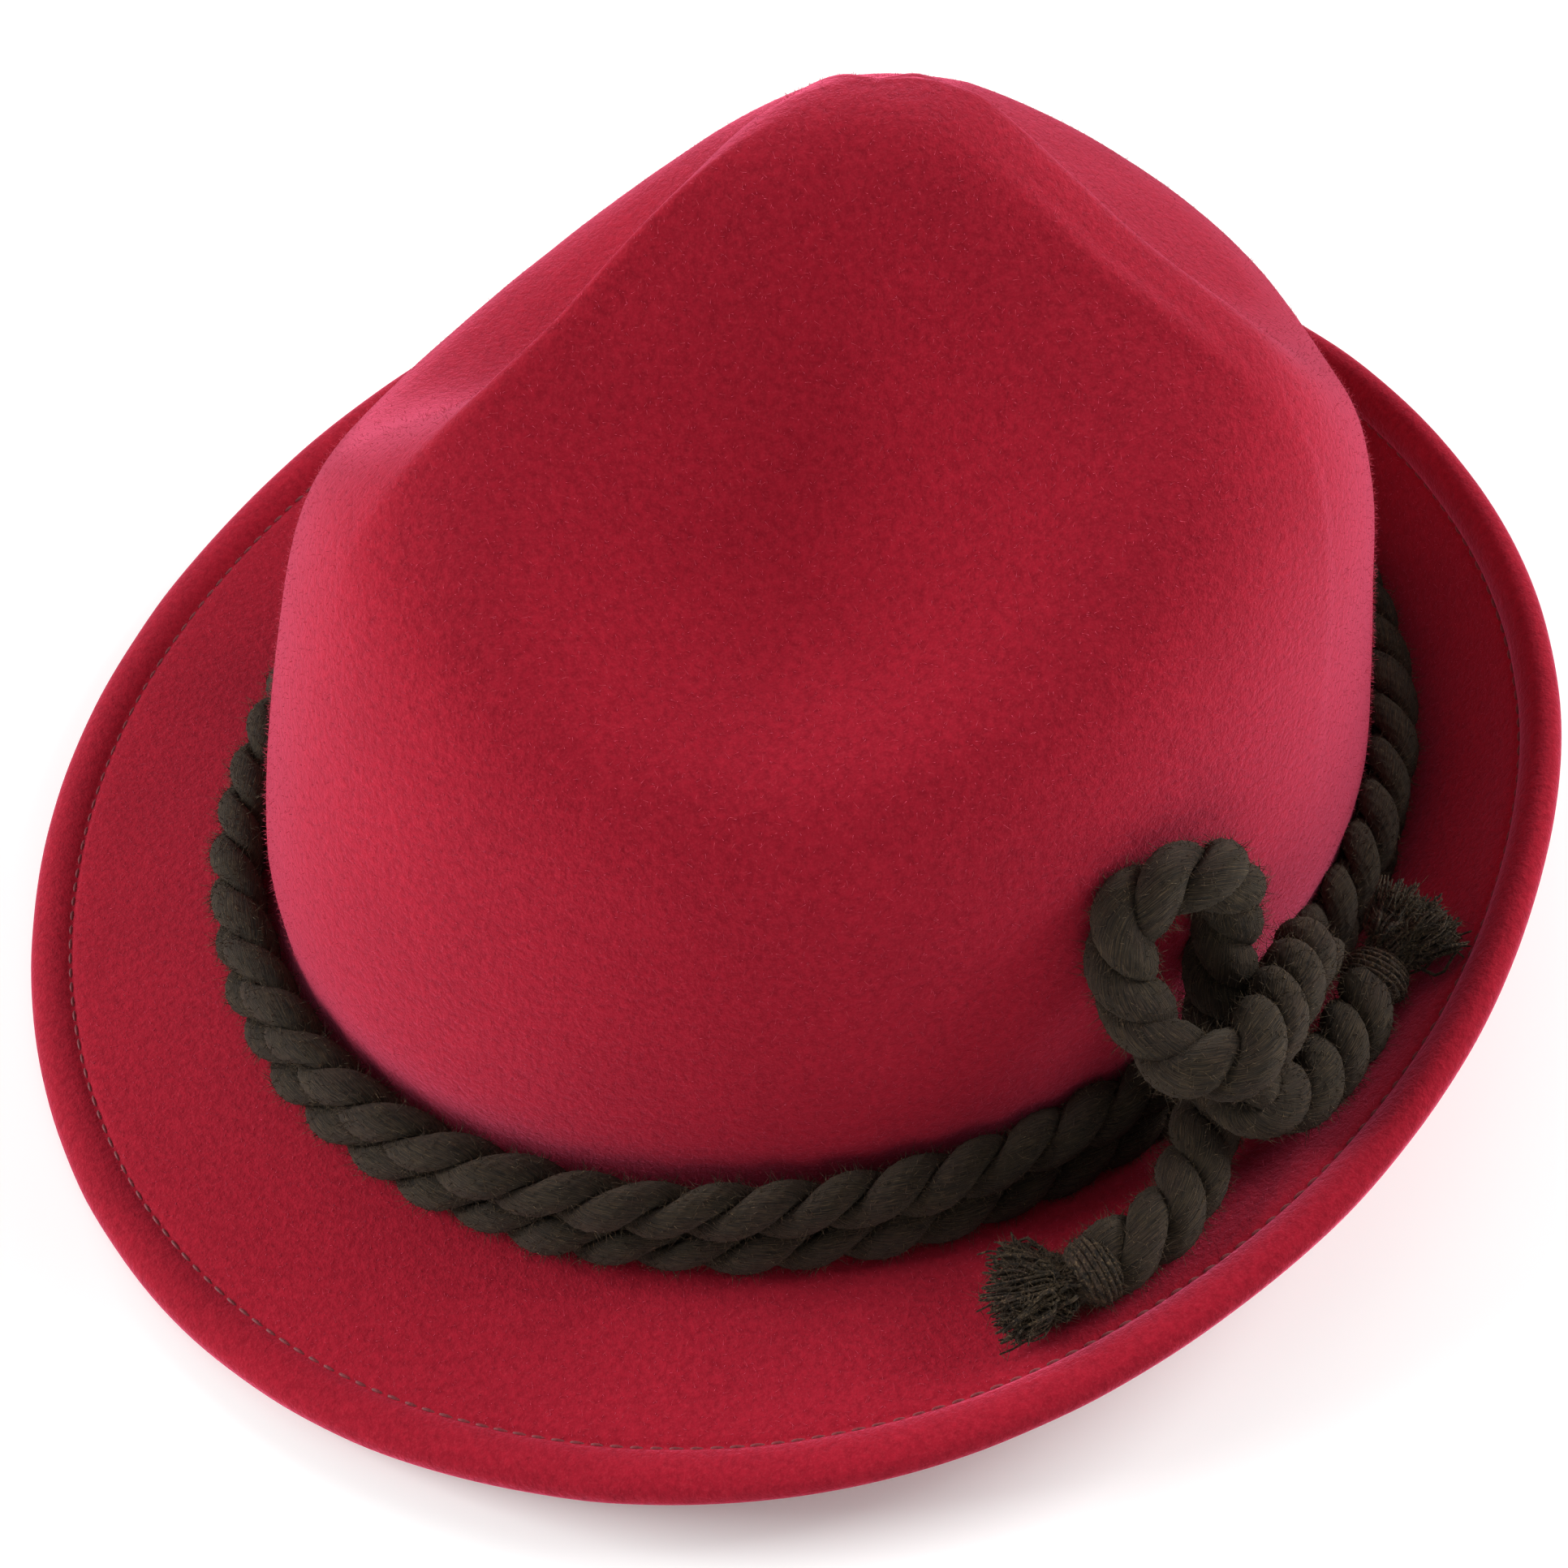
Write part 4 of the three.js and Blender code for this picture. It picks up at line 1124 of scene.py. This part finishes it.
class FELT_OT_stage(bpy.types.Operator):
    """Set up the pale floor, the soft light and the camera"""

    bl_idname = "felt_hat.stage"
    bl_label = "Stage"

    def execute(self, context):
        settings = context.scene.felt_stage
        corners = [(x * FLOOR_HALF, y * FLOOR_HALF, 0) for x, y in ((-1, -1), (1, -1), (1, 1), (-1, 1))]
        floor = smooth_piece("studio_floor", corners, [(0, 1, 2, 3)])
        material, tree, shader = new_material("studio_paper")
        set_up(
            tree, shader, Base_Color=(*settings.floor_colour, 1), Roughness=0.9, Emission_Color=(1, 1, 1, 1),
            Emission_Strength=settings.floor_glow,
        )
        floor.data.materials.append(material)
        world = bpy.data.worlds.new("pale_surround")
        world.use_nodes = True
        back = world.node_tree.nodes["Background"]
        set_up(world.node_tree, back, Color=(1.0, 1.0, 1.0, 1), Strength=settings.surround)
        context.scene.world = world
        for name, place, size, power in LIGHTS:
            soft_light(name, place, size, getattr(settings, power))
        context.scene.view_settings.view_transform = "Standard"
        studio_camera()
        return {"FINISHED"}


def soft_light(name, place, size, power):
    """A square light at a place, aimed at the hat."""
    light = bpy.data.lights.new(name, "AREA")
    light.shape = "SQUARE"
    light.size = size
    light.energy = power
    turn = (LIGHTS_AIM - Vector(place)).to_track_quat("-Z", "Y").to_matrix().to_4x4()
    link(name, light).matrix_world = Matrix.Translation(place) @ turn


def studio_camera():
    a, e, r = (math.radians(v) for v in (CAMERA_AZIMUTH, CAMERA_ELEVATION, CAMERA_ROLL))
    back = Vector((math.sin(a) * math.cos(e), -math.cos(a) * math.cos(e), math.sin(e)))
    level = Vector((math.cos(a), math.sin(a), 0))
    right = level * math.cos(r) - back.cross(level) * math.sin(r)
    data = bpy.data.cameras.new("view")
    data.lens = CAMERA_LENS
    data.sensor_width = 36.0
    data.shift_x, data.shift_y = CAMERA_SHIFT
    data.clip_start = 0.01
    camera = link("view", data)
    turn = Matrix((right, back.cross(right), back)).transposed().to_4x4()
    camera.matrix_world = Matrix.Translation(CAMERA_PLACE) @ turn
    bpy.context.scene.camera = camera


class FELT_PT_panel(bpy.types.Panel):
    """Settings and steps of the felt hat"""

    bl_label = "Felt hat"
    bl_idname = "FELT_PT_panel"
    bl_space_type = "VIEW_3D"
    bl_region_type = "UI"
    bl_category = "Felt hat"

    def draw(self, context):
        for settings, operators in STEPS:
            box = self.layout.box()
            group = getattr(context.scene, settings)
            for key in group.bl_rna.properties.keys():
                if key not in ("rna_type", "name"):
                    box.prop(group, key)
            for operator in operators:
                box.operator(operator)


STEPS = (
    ("felt_stage", ("felt_hat.stage",)),
    ("felt_cord", ("felt_hat.band", "felt_hat.bow", "felt_hat.fuzz")),
    ("felt_body", ("felt_hat.body", "felt_hat.nap", "felt_hat.stitches")),
)
GROUPS = {"felt_body": FELT_PG_body, "felt_cord": FELT_PG_cord, "felt_stage": FELT_PG_stage}
CLASSES = (
    FELT_PG_body, FELT_PG_cord, FELT_PG_stage, FELT_OT_body, FELT_OT_nap, FELT_OT_stitches, FELT_OT_band,
    FELT_OT_bow, FELT_OT_fuzz, FELT_OT_stage, FELT_PT_panel,
)


def register():
    for cls in CLASSES:
        bpy.utils.register_class(cls)
    for name, group in GROUPS.items():
        setattr(bpy.types.Scene, name, bpy.props.PointerProperty(type=group))


def unregister():
    for name in GROUPS:
        delattr(bpy.types.Scene, name)
    for cls in reversed(CLASSES):
        bpy.utils.unregister_class(cls)


def main():
    register()
    for _, operators in STEPS:
        for operator in operators:
            family, step = operator.split(".")
            getattr(getattr(bpy.ops, family), step)()


if __name__ == "__main__":
    main()
